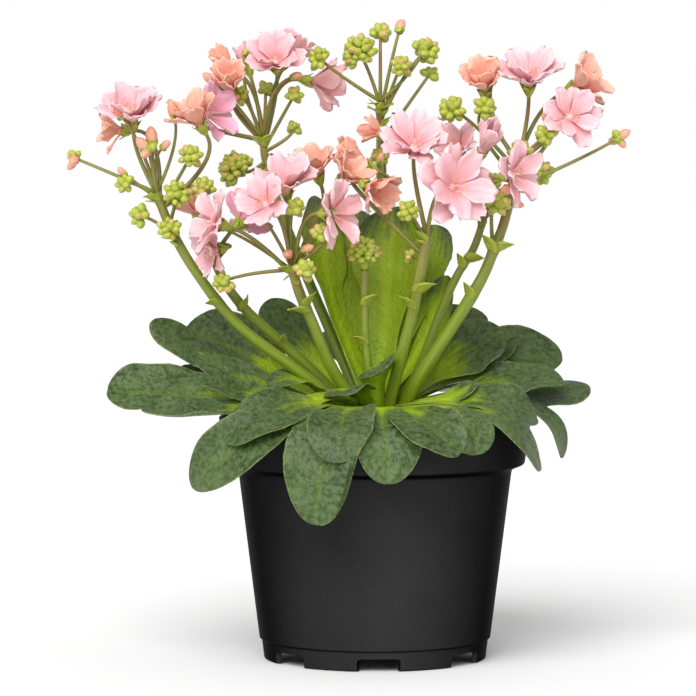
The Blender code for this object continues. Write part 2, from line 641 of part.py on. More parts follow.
def raised_clear(leaf, root, stalk):
    """The leaf, set off a little steeper and higher at a time until it passes over the soil and the rim."""
    for _ in range(MOST_LIFTS):
        if not meets_pot(leaf, root, stalk):
            break
        x, y, z = leaf.over
        leaf = leaf._replace(rise=leaf.rise + 1, over=(x, y, z + 0.5))
    return leaf


def socket_cutter(stem):
    """The hole that a stem stands in: the lower part of the stem, wider by the clearance all round."""
    shares = [i / (STEM_RINGS - 1) for i in range(STEM_RINGS)]
    shares = [share for share in shares if share <= SOCKET_SHARE]
    centres = [along_route(stem.route, share) for share in shares]
    centres[0] = centres[0] - (centres[1] - centres[0]).normalized() * CLEARANCE
    radii = [stem.foot + (stem.top - stem.foot) * share + 1.2 * CLEARANCE for share in shares]
    return tube_solid("socket", centres, radii, STEM_SIDES, "leaf")


def drop_scraps(obj):
    """Keeps the largest body of a mesh and removes loose scraps that a cut left."""
    mesh = bmesh.new()
    mesh.from_mesh(obj.data)
    left = set(mesh.verts)
    bodies = []
    while left:
        body = {left.pop()}
        edge = list(body)
        while edge:
            near = {e.other_vert(v) for v in edge for e in v.link_edges} & left
            left -= near
            body |= near
            edge = list(near)
        bodies.append(body)
    bodies.sort(key=len)
    for body in bodies[:-1]:
        bmesh.ops.delete(mesh, geom=list(body), context="VERTS")
    mesh.to_mesh(obj.data)
    mesh.free()


def along_route(route, share):
    """The point a share of the way along a smooth curve through the route's points."""
    spans = len(route) - 1
    whole = min(spans - 1, int(share * spans))
    t = share * spans - whole
    points = [Vector(p) for p in route]
    before = points[whole - 1] if whole > 0 else 2 * points[0] - points[1]
    after = points[whole + 2] if whole + 2 <= spans else 2 * points[-1] - points[-2]
    p1, p2 = points[whole], points[whole + 1]
    return 0.5 * (
        2 * p1
        + (p2 - before) * t
        + (2 * before - 5 * p1 + 4 * p2 - after) * t * t
        + (3 * p1 - before - 3 * p2 + after) * t ** 3
    )


def tube_solid(name, centres, radii, sides, colour):
    """A closed tube through the centres, with a radius at each."""
    points = []
    side = None
    for i, centre in enumerate(centres):
        ahead = centres[min(i + 1, len(centres) - 1)] - centres[max(i - 1, 0)]
        ahead.normalize()
        if side is None:
            side, _ = frame_across(ahead)
        side = (side - ahead * side.dot(ahead)).normalized()
        other = ahead.cross(side)
        for k in range(sides):
            turn = 2 * math.pi * k / sides
            points.append(centre + (side * math.cos(turn) + other * math.sin(turn)) * radii[i])
    faces = [tuple(range(sides - 1, -1, -1))]
    for i in range(len(centres) - 1):
        low, high = i * sides, (i + 1) * sides
        for k in range(sides):
            j = (k + 1) % sides
            faces.append((low + k, low + j, high + j))
            faces.append((low + k, high + j, high + k))
    last = (len(centres) - 1) * sides
    faces.append(tuple(range(last, last + sides)))
    return add_object(name, points, faces, colour)


def stem_solid(stem):
    shares = [i / (STEM_RINGS - 1) for i in range(STEM_RINGS)]
    centres = [along_route(stem.route, share) for share in shares]
    radii = [stem.foot + (stem.top - stem.foot) * share for share in shares]
    radii[-1] = stem.top * 1.25
    return tube_solid("flower_stem_" + stem.name, centres, radii, STEM_SIDES, "stem")


def branch_centres(stem, share, seat, facing, lead, count):
    """A branch that leaves the stem, swings out and comes up to its seat along the facing."""
    start = along_route(stem.route, share)
    control = seat - facing * lead
    end = seat
    made = []
    for i in range(count):
        t = i / (count - 1)
        made.append(start * (1 - t) ** 2 + control * 2 * t * (1 - t) + end * t * t)
    return made


def calyx_branch(stem, bloom):
    """The branch under a bloom, which widens into the calyx that the bloom is seated on."""
    facing = direction(bloom.turn, bloom.rise)
    top = Vector(bloom.seat) - facing * CLEARANCE
    neck = top - facing * CALYX_LENGTH
    reach = (neck - along_route(stem.route, bloom.at)).length
    centres = branch_centres(stem, bloom.at, neck, facing, 0.35 * reach, 3)
    centres.append(top)
    radii = [1.1, 0.9, 1.1, CALYX_RADIUS]
    return tube_solid("branch", centres, radii, BRANCH_SIDES, "stem")


def bud_solid(root, axis, length, radius, widest):
    """A small bud, which is widest a given share of the way up."""
    side, other = frame_across(axis)
    points = [root]
    for k in range(BUD_SIDES):
        turn = 2 * math.pi * k / BUD_SIDES
        out = (side * math.cos(turn) + other * math.sin(turn)) * radius
        points.append(root + axis * (length * widest) + out)
    points.append(root + axis * length)
    faces = []
    for k in range(BUD_SIDES):
        j = (k + 1) % BUD_SIDES
        faces.append((0, 1 + k, 1 + j))
        faces.append((1 + j, 1 + k, 1 + BUD_SIDES))
    return add_object("bud", points, faces, "stem")


def spray_solids(stem, spray, draw):
    """A branch with its bunch of buds, which crowd round a core at the branch's end."""
    facing = direction(spray.turn, spray.rise)
    seat = Vector(spray.seat)
    reach = (seat - along_route(stem.route, spray.at)).length
    solids = []
    centres = branch_centres(stem, spray.at, seat, facing, 0.35 * reach, 3)
    solids.append(tube_solid("branch", centres, [1.0, 0.9, 1.0], BRANCH_SIDES, "stem"))
    core = max(1.0, 0.62 * spray.bunch)
    if spray.bunch > 2.5:
        solids.append(bud_solid(seat - facing * core, facing, 2 * core, core, 0.5))
    side, other = frame_across(facing)
    shown = max(min(spray.count, 3), round(BUDS_SHOWN * spray.count))
    for i in range(shown):
        lean = math.acos(1 - 1.35 * (i + 0.5) / shown) if shown > 1 else 0.0
        turn = i * GOLDEN_TURN + draw.uniform(-0.2, 0.2)
        out = side * math.cos(turn) + other * math.sin(turn)
        axis = (facing * math.cos(lean) + out * math.sin(lean)).normalized()
        length = 0.7 * core + spray.bud * draw.uniform(0.85, 1.1)
        solids.append(bud_solid(seat - facing * 0.7, axis, length + 0.7, 0.42 * spray.bud, 0.6))
    return solids


def bract_solid(stem, bract):
    """A small pointed leaf that clasps the stem."""
    here = along_route(stem.route, bract.at)
    ahead = (along_route(stem.route, min(1.0, bract.at + 0.02)) - here).normalized()
    if bract.at > 0.98:
        ahead = (here - along_route(stem.route, bract.at - 0.02)).normalized()
    out = direction(bract.turn, 0)
    out = (out - ahead * out.dot(ahead)).normalized()
    axis = (out * 0.75 + ahead * 0.66).normalized()
    side = axis.cross(out).normalized()
    root = here + out * (stem.top * 0.3)
    return petal_like("bract", root, axis, side, bract.length, 0.42 * bract.length,
                      (0, 30), -0.2, "stem")


def petal_like(name, root, axis, side, length, width, slopes, notch, colour):
    """A blade from its root along the axis, which bends by the slopes at its root and tip, in degrees."""
    up = axis.cross(side)
    places = [root.copy()]
    for step in range(1, 9):
        slope = math.radians(slopes[0] + (slopes[1] - slopes[0]) * (step - 0.5) / 8)
        places.append(places[-1] + (axis * math.cos(slope) + up * math.sin(slope)) * (length / 8))
    slope = math.radians(0.5 * (slopes[0] + slopes[1]))
    above = up * math.cos(slope) - axis * math.sin(slope)
    half = 0.5 * width
    rim = above * (0.25 * half)
    outline = [
        places[0],
        places[5] - side * half + rim,
        places[8] - side * (0.62 * half),
        places[8] + (places[7] - places[8]) * (8 * notch),
        places[8] + side * (0.62 * half),
        places[5] + side * half + rim,
    ]
    middle = places[5]
    thick = above * (0.5 * PETAL_THICKNESS)
    points = [*outline, middle + thick, middle - thick]
    faces = []
    for i in range(6):
        j = (i + 1) % 6
        faces += [(i, j, 6), (j, i, 7)]
    return add_object(name, points, faces, colour)


def build_bloom(bloom):
    """Petals in two layers round a small heart."""
    facing = direction(bloom.turn, bloom.rise)
    side, other = frame_across(facing)
    seat = Vector(bloom.seat)
    heart = ((0.0, 1.4), (1.6, 2.3), (3.8, 0.8))
    centres = [seat + facing * height for height, _ in heart]
    radii = [radius for _, radius in heart]
    core = tube_solid("bloom_" + bloom.name, centres, radii, HEART_SIDES, "petal")
    petals = []
    count = min(bloom.petals, MOST_PETALS)
    for i in range(count):
        inner = i % 2
        turn = 2 * math.pi * i / count + 0.3
        out = side * math.cos(turn) + other * math.sin(turn)
        across = facing.cross(out)
        steep = 72 - 38 * bloom.spread + 12 * inner
        flat = 82 - 68 * bloom.spread + 16 * inner
        width = bloom.reach * (0.56 if bloom.spread > 0.3 else 0.46)
        root = seat + facing * (0.9 + 1.3 * inner) + out * 0.9
        petals.append(petal_like("petal", root, out, across, bloom.reach, width,
                                 (steep, flat), 0.07, "petal"))
    apply_boolean(core, "UNION", petals, "MANIFOLD")
    return core


def carried(items, stem):
    """The items that a stem carries, with those of one hub spread down the stem's top."""
    own = [item for item in items if item.stem == stem.name]
    step = HUB_SPREAD / max(1, len(own))
    return [item._replace(at=item.at - step * i) for i, item in enumerate(own)]


def build_stem(stem, draw):
    """One flowering stem with all that it carries apart from the open flowers."""
    solid = stem_solid(stem)
    pieces = [calyx_branch(stem, bloom) for bloom in carried(BLOOMS, stem)]
    for spray in carried(SPRAYS, stem):
        pieces += spray_solids(stem, spray, draw)
    pieces += [bract_solid(stem, bract) for bract in BRACTS if bract.stem == stem.name]
    apply_boolean(solid, "UNION", pieces, "MANIFOLD")
    return solid


def main():
    clear_scene()
    build_pot()
    build_soil()
    build_rosette()
    draw = random.Random(7)
    for stem in STEMS:
        build_stem(stem, draw)
    for bloom in BLOOMS:
        build_bloom(bloom)


main()
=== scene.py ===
"""Dresses the potted lewisia: smooth pot, leaves, stems, buds, flowers, potting mix, floor and light.

The tables are in millimetres and degrees, as the solids were drawn. Meshes are made in metres.
"""

import math
import random
from collections import namedtuple

import bpy
import bmesh
from bpy.props import FloatProperty, FloatVectorProperty, IntProperty, PointerProperty
from mathutils import Matrix, Vector, noise


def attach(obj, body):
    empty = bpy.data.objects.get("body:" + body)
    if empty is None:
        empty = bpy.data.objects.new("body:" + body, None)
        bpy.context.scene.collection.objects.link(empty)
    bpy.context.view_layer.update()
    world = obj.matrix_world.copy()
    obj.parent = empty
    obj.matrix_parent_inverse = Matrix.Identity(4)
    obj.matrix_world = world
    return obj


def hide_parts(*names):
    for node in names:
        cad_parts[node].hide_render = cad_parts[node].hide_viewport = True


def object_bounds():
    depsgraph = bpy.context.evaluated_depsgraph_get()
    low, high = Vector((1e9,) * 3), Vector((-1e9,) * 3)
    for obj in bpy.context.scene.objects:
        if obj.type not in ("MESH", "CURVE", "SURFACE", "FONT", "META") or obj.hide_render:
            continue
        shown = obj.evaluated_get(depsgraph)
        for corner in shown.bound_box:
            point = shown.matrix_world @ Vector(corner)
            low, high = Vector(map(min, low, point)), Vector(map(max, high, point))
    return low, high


bl_info = {
    "name": "Potted Lewisia",
    "version": (1, 0, 0),
    "blender": (4, 5, 0),
    "location": "3D View > Sidebar > Lewisia",
    "description": "Builds the visible surfaces of a potted lewisia",
    "category": "Add Mesh",
}

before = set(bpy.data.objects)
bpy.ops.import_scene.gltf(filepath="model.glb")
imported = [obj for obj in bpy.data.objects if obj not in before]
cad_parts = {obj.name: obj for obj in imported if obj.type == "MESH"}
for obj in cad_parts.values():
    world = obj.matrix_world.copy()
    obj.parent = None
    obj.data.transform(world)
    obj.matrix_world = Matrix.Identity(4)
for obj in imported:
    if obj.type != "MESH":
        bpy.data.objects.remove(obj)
CAD_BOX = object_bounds()
# How far the visual plant stays inside the box of the solids, in metres
BOX_GAP = 0.0001

MM = 0.001
GOLDEN_TURN = math.radians(137.5)
# Gap between one solid and the next
CLEARANCE = 0.3

# Camera, which looks slightly down from above the leaves
IMAGE_PIXELS = 696
CAMERA_SIDE = -10.4
CAMERA_DISTANCE = 1373.0
CAMERA_HEIGHT = 191.0
CAMERA_AIM_HEIGHT = 119.3
SENSOR_WIDTH = 36.0
# Millimetres that one pixel of the picture spans where the pot stands
PIXEL_SIZE = 0.3846
# How far the camera sees, in metres
CAMERA_REACH = 50.0
# How much of a height and of a depth shows as height to the far camera that the rows were read for
HEIGHT_SHOWN = 0.992
DEPTH_SHOWN = 0.127

# Light and floor. KEY_WAY points from the plant to the lamp. The floor's sizes are in metres.
KEY_WAY = (-0.30, -1.0, 0.95)
KEY_SOFTNESS = 44.0
FLOOR_REACH = 12.0
FLOOR_GAP = 0.0002

# Pot
POT_HEIGHT = 93.0
RIM_RADIUS = 60.2
RIM_FOOT_RADIUS = 57.7
RIM_FOOT_HEIGHT = 75.0
RIM_INNER_RADIUS = 54.0
SHOULDER_RADIUS = 52.8
SHOULDER_HEIGHT = 73.0
BAND_RADIUS = 44.6
BAND_HEIGHT = 7.2
FOOT_RADIUS = 42.8
WALL = 1.3
FLOOR_UNDERSIDE = 5.2
FLOOR_TOP = 6.6
HUB_RADIUS = 8.0
NOTCHES = 7
NOTCH_HEIGHT = 4.7
NOTCH_WIDTH = 20.0
NOTCH_INNER_WIDTH = 11.0
FRONT_NOTCH_TURN = -88.5
DRAIN_HOLE_RADIUS = 3.5
DRAIN_HOLE_RING = 27.0
DRAIN_HOLE_SIDES = 24
# Edges that bend by more degrees than this stay sharp
SHARP_BEND = 32

# Soil
SOIL_EDGE_HEIGHT = 82.0
SOIL_MOUND = 3.0
SOIL_SIDES = 96
SOIL_RINGS = 30
SOCKET_RADIUS = 10.0
SOCKET_FLOOR = 72.0

# Crown, where leaves and stems grow
ROOT_RADIUS = SOCKET_RADIUS - CLEARANCE
CROWN_RADIUS = 15.0

# Leaves
# A leaf that would meet the pot is lifted at most so many times
MOST_LIFTS = 40
CHECKS_ALONG_LEAF = 40
STALK_THICKNESS = 3.4
LEAF_SKIN_THICKNESS = 1.3
# Steps from the rib to a margin
LEAF_STEPS_ACROSS = 7
CROWN_SIDES = 48
CROWN_RIBS = 11

# Stems
STEM_RINGS = 44
STEM_SIDES = 18
# How far the branches of one stem are spread down it in all, as a share of its route
HUB_SPREAD = 0.12
# A bunch with buds longer than this is about to open
LONGEST_GREEN_BUD = 5.5
# A branch's radius at both ends, its rings and sides, and the part of the stem's shades that it takes
Branch = namedtuple("Branch", "foot top rings sides along")
BLOOM_BRANCH = Branch(0.95, 0.72, 18, 10, (0.75, 1.1))
SPRAY_BRANCH = Branch(0.80, 0.58, 16, 10, (0.75, 1.05))
SINGLE_BRANCH = Branch(0.75, 0.55, 12, 8, (0.8, 1.05))

# Flowers
CALYX_LENGTH = 5.0
CALYX_SEPALS = 5
STAMENS = 8
PETAL_RINGS = 17
# Steps along a petal's curve, and from its middle to a margin
PETAL_STEPS = 40
PETAL_STEPS_ACROSS = 4

# tip: where the leaf ends. over: a point that its rib passes on the way there.
# rise: its slope where it leaves the crown. roll: how far the blade turns about its rib.
Leaf = namedtuple("Leaf", "tip over width rise roll")

OUTER_LEAVES = (
    ((-103, -5, 103), (-65, -5, 101), 29, 10, -38),
    ((-88, -30, 98), (-58, -30, 97), 20, 10, -14),
    ((-77, 12, 110), (-58, 10, 103), 22, 12, -30),
    ((-56, -58, 88), (-34, -52, 100), 22, 6, -26),
    ((-69, -49, 72), (-40, -56, 88), 23, 20, -40),
    ((-22, -72, 58), (-16, -60, 94), 30, 2, 0),
    ((5, -72, 73), (3, -61, 95), 27, 2, 0),
    ((31, -68, 84), (17, -60, 95), 25, 2, 12),
    ((39, -56, 83), (31, -51, 96), 21, 2, 14),
    ((62, -32, 75), (48, -42, 95), 14, 2, 18),
    ((61, -18, 94), (38, -27, 98), 22, 8, 32),
    ((72, -2, 77), (63, -5, 95), 14, 14, 20),
    ((73, 5, 106), (48, 3, 104), 26, 14, 24),
    ((84, 15, 103), (60, 12, 100), 26, 10, 24),
    ((74, 30, 114), (51, 25, 113), 30, 24, 40),
    ((62, 52, 99), (44, 36, 105), 26, 18, 0),
    ((36, 76, 96), (24, 50, 101), 27, 14, 0),
    ((8, 86, 92), (6, 57, 101), 27, 14, 0),
    ((-22, 82, 97), (-16, 54, 102), 26, 14, 0),
    ((-48, 68, 99), (-32, 45, 102), 26, 14, 0),
    ((-70, 46, 102), (-47, 32, 103), 25, 14, -8),
)
MIDDLE_LEAVES = (
    ((-87, 20, 129), (-60, 14, 112), 19, 24, -32),
    ((-74, 35, 126), (-49, 25, 114), 30, 26, -38),
    ((-68, -5, 116), (-43, -8, 105), 15, 18, -45),
    ((-67, -18, 108), (-38, -16, 100), 13, 12, -36),
    ((-14, -76, 81), (-12, -62, 97), 25, 4, 0),
    ((51, 18, 123), (31, 14, 114), 27, 34, 38),
    ((43, 35, 131), (26, 25, 119), 24, 38, 26),
    ((56, 34, 122), (35, 24, 113), 25, 26, 26),
    ((-41, 30, 137), (-28, 20, 119), 22, 42, -20),
    ((20, 66, 122), (13, 42, 115), 26, 36, 0),
    ((-10, 68, 122), (-7, 43, 115), 26, 36, 0),
    ((-40, 56, 125), (-26, 36, 116), 25, 36, 0),
)
INNER_LEAVES = (
    ((-22, 18, 177), (-19, 8, 144), 26, 68, 12),
    ((7, 20, 173), (5, 9, 141), 28, 74, -6),
    ((-7, 32, 172), (-6, 20, 141), 22, 72, 0),
    ((24, 35, 166), (15, 20, 138), 24, 62, 0),
    ((28, 10, 147), (20, 8, 122), 18, 54, 24),
)
SMALL_LEAVES = (
    ((-41, -16, 106), (-27, -12, 107), 17, 40, -10),
    ((-14, -38, 103), (-9, -26, 105), 22, 50, 10),
    ((1, -29, 111), (0, -18, 112), 18, 72, 26),
    ((39, -21, 107), (23, -18, 99), 13, 20, 30),
)
# Name, leaves, the distance from the axis and the height at which they leave the crown, the width of
# their stalks, and how far their bright base reaches
LEAF_GROUPS = (
    ("outer_leaves", OUTER_LEAVES, (7.0, 95.0), 7.0, 0.15),
    ("middle_leaves", MIDDLE_LEAVES, (6.0, 92.5), 7.5, 0.30),
    ("inner_leaves", INNER_LEAVES, (1.5, 94.0), 12.0, 1.0),
    ("small_leaves", SMALL_LEAVES, (10.0, 94.0), 8.5, 0.70),
)

# route: points that the main stem passes. foot and top: its radius at both ends.
Stem = namedtuple("Stem", "name route foot top")
# seat: where the petals meet. turn and rise: the way that the bloom looks.
# spread: 0 closed to 1 flat open. at: how far up its stem the branch leaves.
Bloom = namedtuple("Bloom", "name seat turn rise reach spread petals stem at", defaults=(1.0,))
# A spray ends a branch with a number of buds, of one length, in a bunch of one radius.
Spray = namedtuple("Spray", "seat turn rise count bud bunch at", defaults=(1.0,))
# A lone bud that is about to open
Single = namedtuple("Single", "seat turn rise length at", defaults=(1.0,))
# A bract is a small leaf on a stem.
Bract = namedtuple("Bract", "at turn length")

STEM_ROWS = (
    ("far_left", ((-8, -3.5, 94), (-29, -9, 112), (-52, -11, 130), (-68, -12, 150), (-78, -12, 167),
                  (-84, -12, 182)), 2.7, 2.0),
    ("left", ((-7.5, 2.5, 94), (-26, 1, 113), (-38, 0, 124), (-51, -4, 137), (-59, -8, 149),
              (-64, -10, 162)), 2.8, 1.9),
    ("rear_left", ((-4, 8, 94), (-17, 17, 124), (-29, 21, 152), (-38, 22, 176), (-42, 22, 190),
                   (-43, 22, 198)), 2.5, 1.7),
    ("front_left", ((-3, -7, 93), (-16, -13, 113), (-24, -17, 132), (-29, -19, 144),
                    (-32, -20, 154)), 2.8, 2.2),
    ("rear_middle", ((4, 8, 94), (5, 24, 124), (4, 34, 152), (2, 33, 180), (2, 22, 213)), 2.4, 1.7),
    ("middle", ((1, -11, 95), (-3, -11, 118), (-4, -10, 138), (-4, -10, 152)), 1.9, 1.7),
    ("front_right", ((4, -7, 93), (9, -14, 115), (13, -17, 130), (16, -19, 144), (18, -20, 156),
                     (20, -20, 166)), 2.8, 2.3),
    ("right", ((7, 4, 94), (17, -4, 113), (26, -6, 137), (32, -7, 150), (38, -7, 160),
               (42, -7, 172)), 2.2, 1.7),
    ("far_right", ((9, -3, 94), (17, -11, 110), (27, -13, 126), (37, -14, 142), (42, -14, 151),
                   (46, -14, 161), (50, -13, 172), (55, -12, 194)), 3.2, 2.1),
)
# The blooms by number, from 01
BLOOM_ROWS = (
    ((-93, -12, 209.5), 268, 62, 14, 0.62, 9, "far_left"),
    ((-97, -4, 205), 190, 0, 9, 0.5, 6, "far_left"),
    ((-66, 6, 210), 330, 10, 13, 0.75, 8, "rear_left"),
    ((-67, -10, 208), 215, 55, 12.5, 0.5, 8, "far_left"),
    ((-55.5, 14, 218), 265, 45, 11.5, 0.32, 8, "rear_left"),
    ((-55, 26, 226), 165, 40, 9, 0.2, 6, "rear_left"),
    ((-49, 30, 225.5), 150, 70, 8, 0.2, 5, "rear_left"),
    ((-38, 18, 227), 266, 42, 13, 0.6, 9, "rear_left"),
    ((-34, 27, 228), 30, 60, 11.5, 0.5, 7, "rear_left"),
    ((-25, 29, 220), 8, -6, 13.5, 0.5, 8, "rear_left"),
    ((-41, -30, 179), 240, 24, 11.5, 0.7, 8, "front_left"),
    ((-34, -16, 183), 262, 58, 13.5, 0.65, 9, "front_left"),
    ((-22, -3, 187.5), 240, 56, 11.5, 0.5, 8, "front_left"),
    ((-12.5, -8.5, 186.5), 325, 42, 11, 0.6, 8, "front_left"),
    ((-18, -28, 176), 330, 2, 13.5, 0.8, 8, "front_left"),
    ((-59.5, -26, 171.5), 208, 16, 12.5, 0.8, 8, "front_left"),
    ((-60.5, -19, 160.5), 215, -14, 10, 0.7, 7, "left"),
    ((-68, -5, 172.5), 165, 56, 10, 0.32, 7, "left"),
    ((-52, -10, 170), 60, 26, 11, 0.6, 7, "left"),
    ((15, -24, 200), 272, 42, 13.5, 0.72, 9, "front_right"),
    ((28.5, -32, 186.5), 300, 10, 15.5, 0.85, 10, "front_right"),
    ((32.5, -1, 196), 250, 40, 10.5, 0.6, 8, "right"),
    ((41, -22, 199), 304, 52, 13, 0.1, 5, "right"),
    ((3, 5, 203), 165, 20, 8, 0.4, 6, "rear_middle", 0.93),
    ((-3, 2, 191), 196, 28, 12.5, 0.25, 7, "rear_middle", 0.82),
    ((-3, -19, 185.5), 322, -20, 12, 0.45, 7, "front_right", 0.94),
    ((42, -8, 221), 262, 52, 12, 0.42, 8, "far_right"),
    ((59, -10, 223), 268, 62, 14, 0.65, 9, "far_right"),
    ((76, -2, 221.5), 350, 28, 13, 0.6, 8, "far_right"),
    ((74, -16, 211), 290, 20, 11.5, 0.8, 9, "far_right"),
    ((51, -26, 190.5), 325, 8, 12.5, 0.75, 8, "right"),
)
# Blooms that aren't the usual pink
SALMON_BLOOMS = ("02", "04", "05", "06", "13", "14", "18", "24", "25", "26", "27", "29")
MAGENTA_BLOOMS = ("03", "19")

# Sprays, lone buds and bracts by the stem that carries them
SPRAY_ROWS = {
    "far_left": (
        ((-115, -10, 195), 160, 20, 5, 6.0, 2.4),
        ((-96, -14, 186), 210, -10, 5, 3.6, 2.6, 0.98),
        ((-87, -18, 199), 250, 60, 4, 6.4, 2.6),
        ((-71, -14, 196), 300, 40, 7, 3.8, 3.4, 0.98),
        ((-76, -18, 182), 280, 40, 9, 3.8, 4.0, 0.9),
        ((-90, -12, 173), 190, 10, 5, 4.4, 3.2, 0.86),
        ((-79, -18, 169), 260, -10, 7, 3.6, 3.2, 0.84),
    ),
    "left": (
        ((-66, -12, 183), 200, 70, 9, 3.6, 3.6),
    ),
    "front_left": (
        ((-58, -22, 149), 215, -20, 7, 3.6, 3.2, 0.98),
        ((-27, -29, 154), 300, 30, 5, 4.2, 2.8, 0.96),
        ((-31, -26, 178), 290, 20, 5, 4.4, 2.6),
        ((-21, -25, 168), 300, 10, 5, 4.0, 2.6),
    ),
    "rear_left": (
        ((-53, 12, 188), 180, 40, 26, 3.6, 5.6, 0.8),
        ((-31, 24, 202), 60, 50, 3, 3.8, 1.8, 0.9),
        ((-52, 18, 216), 240, 10, 5, 3.8, 2.8),
        ((-42, 24, 217), 90, 60, 3, 4.2, 2.0),
        ((-31, 17, 216), 300, 40, 4, 4.0, 2.4),
    ),
    "rear_middle": (
        ((-21, 16, 230), 200, 40, 7, 3.8, 3.4),
        ((-6, 20, 232), 220, 50, 22, 3.8, 5.4),
        ((2, 22, 239), 90, 70, 6, 4.4, 3.0),
        ((9, 24, 239), 60, 60, 1, 6.4, 0.4),
        ((19, 22, 232), 20, 40, 12, 4.0, 4.4),
        ((10, 16, 227), 300, 40, 7, 3.8, 3.0),
        ((21, 26, 223), 30, 50, 3, 4.0, 1.8, 0.96),
        ((2, 14, 193), 250, 0, 5, 4.2, 2.6, 0.78),
    ),
    "middle": (
        ((-4, -10, 158), 270, 84, 26, 3.4, 5.0),
    ),
    "front_right": (
        ((13, -29, 177), 240, 30, 7, 3.8, 3.2, 0.96),
        ((14, -16, 158), 150, 10, 3, 3.6, 1.8, 0.9),
    ),
    "far_right": (
        ((30, -12, 214), 220, 20, 12, 4.0, 4.2, 0.98),
        ((42, -16, 215), 330, 30, 7, 4.0, 3.4, 0.98),
        ((66, -18, 205), 230, 10, 6, 4.2, 3.0),
        ((93, -12, 203), 20, 30, 5, 6.2, 2.6, 0.99),
        ((64, -10, 190), 330, -20, 6, 4.4, 3.4, 0.97),
        ((56, -18, 198), 280, 40, 6, 4.0, 3.2, 0.98),
        ((47, -20, 179), 300, -10, 7, 4.4, 3.6, 0.8),
    ),
    "right": (
        ((44, -4, 184), 120, 60, 9, 3.8, 3.8),
    ),
}
SINGLE_ROWS = {
    "far_left": (
        ((-85, -16, 200), 250, 80, 7.5),
        ((-80, -14, 197), 330, 40, 5.0, 0.99),
        ((-77, -12, 210), 240, 65, 7.0),
        ((-97, -16, 209), 200, 50, 6.0),
        ((-96, -14, 187), 200, 40, 4.5, 0.97),
    ),
    "rear_left": (
        ((-64, 16, 223), 180, 40, 6.0),
        ((-54, 14, 216), 300, 0, 4.5),
        ((-50, 28, 234), 60, 60, 5.5),
        ((-31, 14, 224), 0, 20, 5.0),
    ),
    "front_left": (
        ((-18, -30, 174), 180, 60, 6.0),
        ((-50, -20, 178), 160, 40, 7.0),
        ((-34, -24, 180), 270, 30, 6.0),
        ((-33, -24, 156), 260, 0, 6.5, 0.97),
        ((-26, -24, 158), 330, 20, 5.5, 0.97),
        ((-59, -18, 166), 200, 20, 4.5, 0.97),
    ),
    "rear_middle": (
        ((2, 6, 192), 300, 60, 4.5, 0.85),
        ((20, 20, 237), 20, 70, 4.5),
    ),
    "right": (
        ((49, -22, 180), 290, 30, 6.5),
        ((54, -20, 175), 330, -20, 4.5),
    ),
    "far_right": (
        ((65, -16, 207), 230, 40, 5.5),
        ((72, -18, 203), 300, -10, 5.0),
        ((79, -6, 222), 250, 50, 5.0),
        ((84, -12, 210), 350, 10, 5.0),
        ((45, -10, 222), 300, 60, 5.0, 0.99),
    ),
}
BRACT_ROWS = {
    "far_left": (
        (0.5, 230, 6),
        (0.97, 225, 7),
    ),
    "left": (
        (0.36, 300, 7),
        (0.6, 305, 8),
    ),
    "front_left": (
        (0.6, 222, 9),
        (0.64, 318, 9),
        (0.97, 230, 8),
    ),
    "rear_left": (
        (0.97, 225, 7),
        (0.98, 315, 7),
    ),
    "rear_middle": (
        (0.97, 222, 7),
        (0.98, 318, 7),
    ),
    "middle": (
        (0.42, 225, 7),
        (0.68, 310, 8),
    ),
    "front_right": (
        (0.52, 222, 9),
        (0.62, 312, 10),
        (0.97, 225, 7),
    ),
    "right": (
        (0.66, 225, 7),
        (0.72, 312, 8),
    ),
    "far_right": (
        (0.43, 225, 8),
        (0.7, 222, 9),
        (0.71, 318, 9),
        (0.95, 315, 7),
    ),
}


def placed(place):
    """The true place of a point from the rows of stems, blooms and sprays, which suit a far camera."""
    x, y, z = place
    near = 1 + y / CAMERA_DISTANCE
    height = HEIGHT_SHOWN * z + DEPTH_SHOWN * y
    side = CAMERA_SIDE + (x - CAMERA_SIDE) * near
    return Vector((side, y, CAMERA_HEIGHT - (CAMERA_HEIGHT - height) * near))


STEMS = [Stem(name, [placed(p) for p in route], foot, top) for name, route, foot, top in STEM_ROWS]
BLOOMS = [Bloom(f"{i:02d}", placed(seat), *rest) for i, (seat, *rest) in enumerate(BLOOM_ROWS, 1)]
SPRAYS = {name: [Spray(placed(seat), *rest) for seat, *rest in rows] for name, rows in SPRAY_ROWS.items()}


# Sizes and colours that a user would change

def colour_setting(name, description, default):
    return FloatVectorProperty(
        name=name, description=description, subtype="COLOR", size=3, min=0.0, max=1.0, default=default)


def length_setting(name, description, default):
    return FloatProperty(name=name, description=description, unit="LENGTH", min=0.0, default=default)


class PotSettings(bpy.types.PropertyGroup):
    colour: colour_setting("Plastic", "Colour of the pot's plastic", (0.0218, 0.0218, 0.0222))
    rim_bead: length_setting("Rim rounding", "Radius of the rim's rounded upper edge", 0.0006)
    sides: IntProperty(name="Sides", description="Facets round the pot", min=24, default=168)


class SoilSettings(bpy.types.PropertyGroup):
    colour: colour_setting("Soil", "Colour of the moist potting mix", (0.030, 0.018, 0.011))
    crumbs: IntProperty(name="Crumbs", description="Loose crumbs on the soil", min=0, default=700)


class LeafSettings(bpy.types.PropertyGroup):
    blade: colour_setting("Blade", "Dark green of the outer half of a leaf", (0.025, 0.049, 0.012))
    stalk: colour_setting("Stalk", "Bright yellow green of a leaf's base", (0.325, 0.465, 0.012))
    margin: colour_setting("Margin", "Pale line along a leaf's edge", (0.300, 0.330, 0.110))
    rings: IntProperty(name="Rings", description="Stations along a leaf", min=8, default=92)


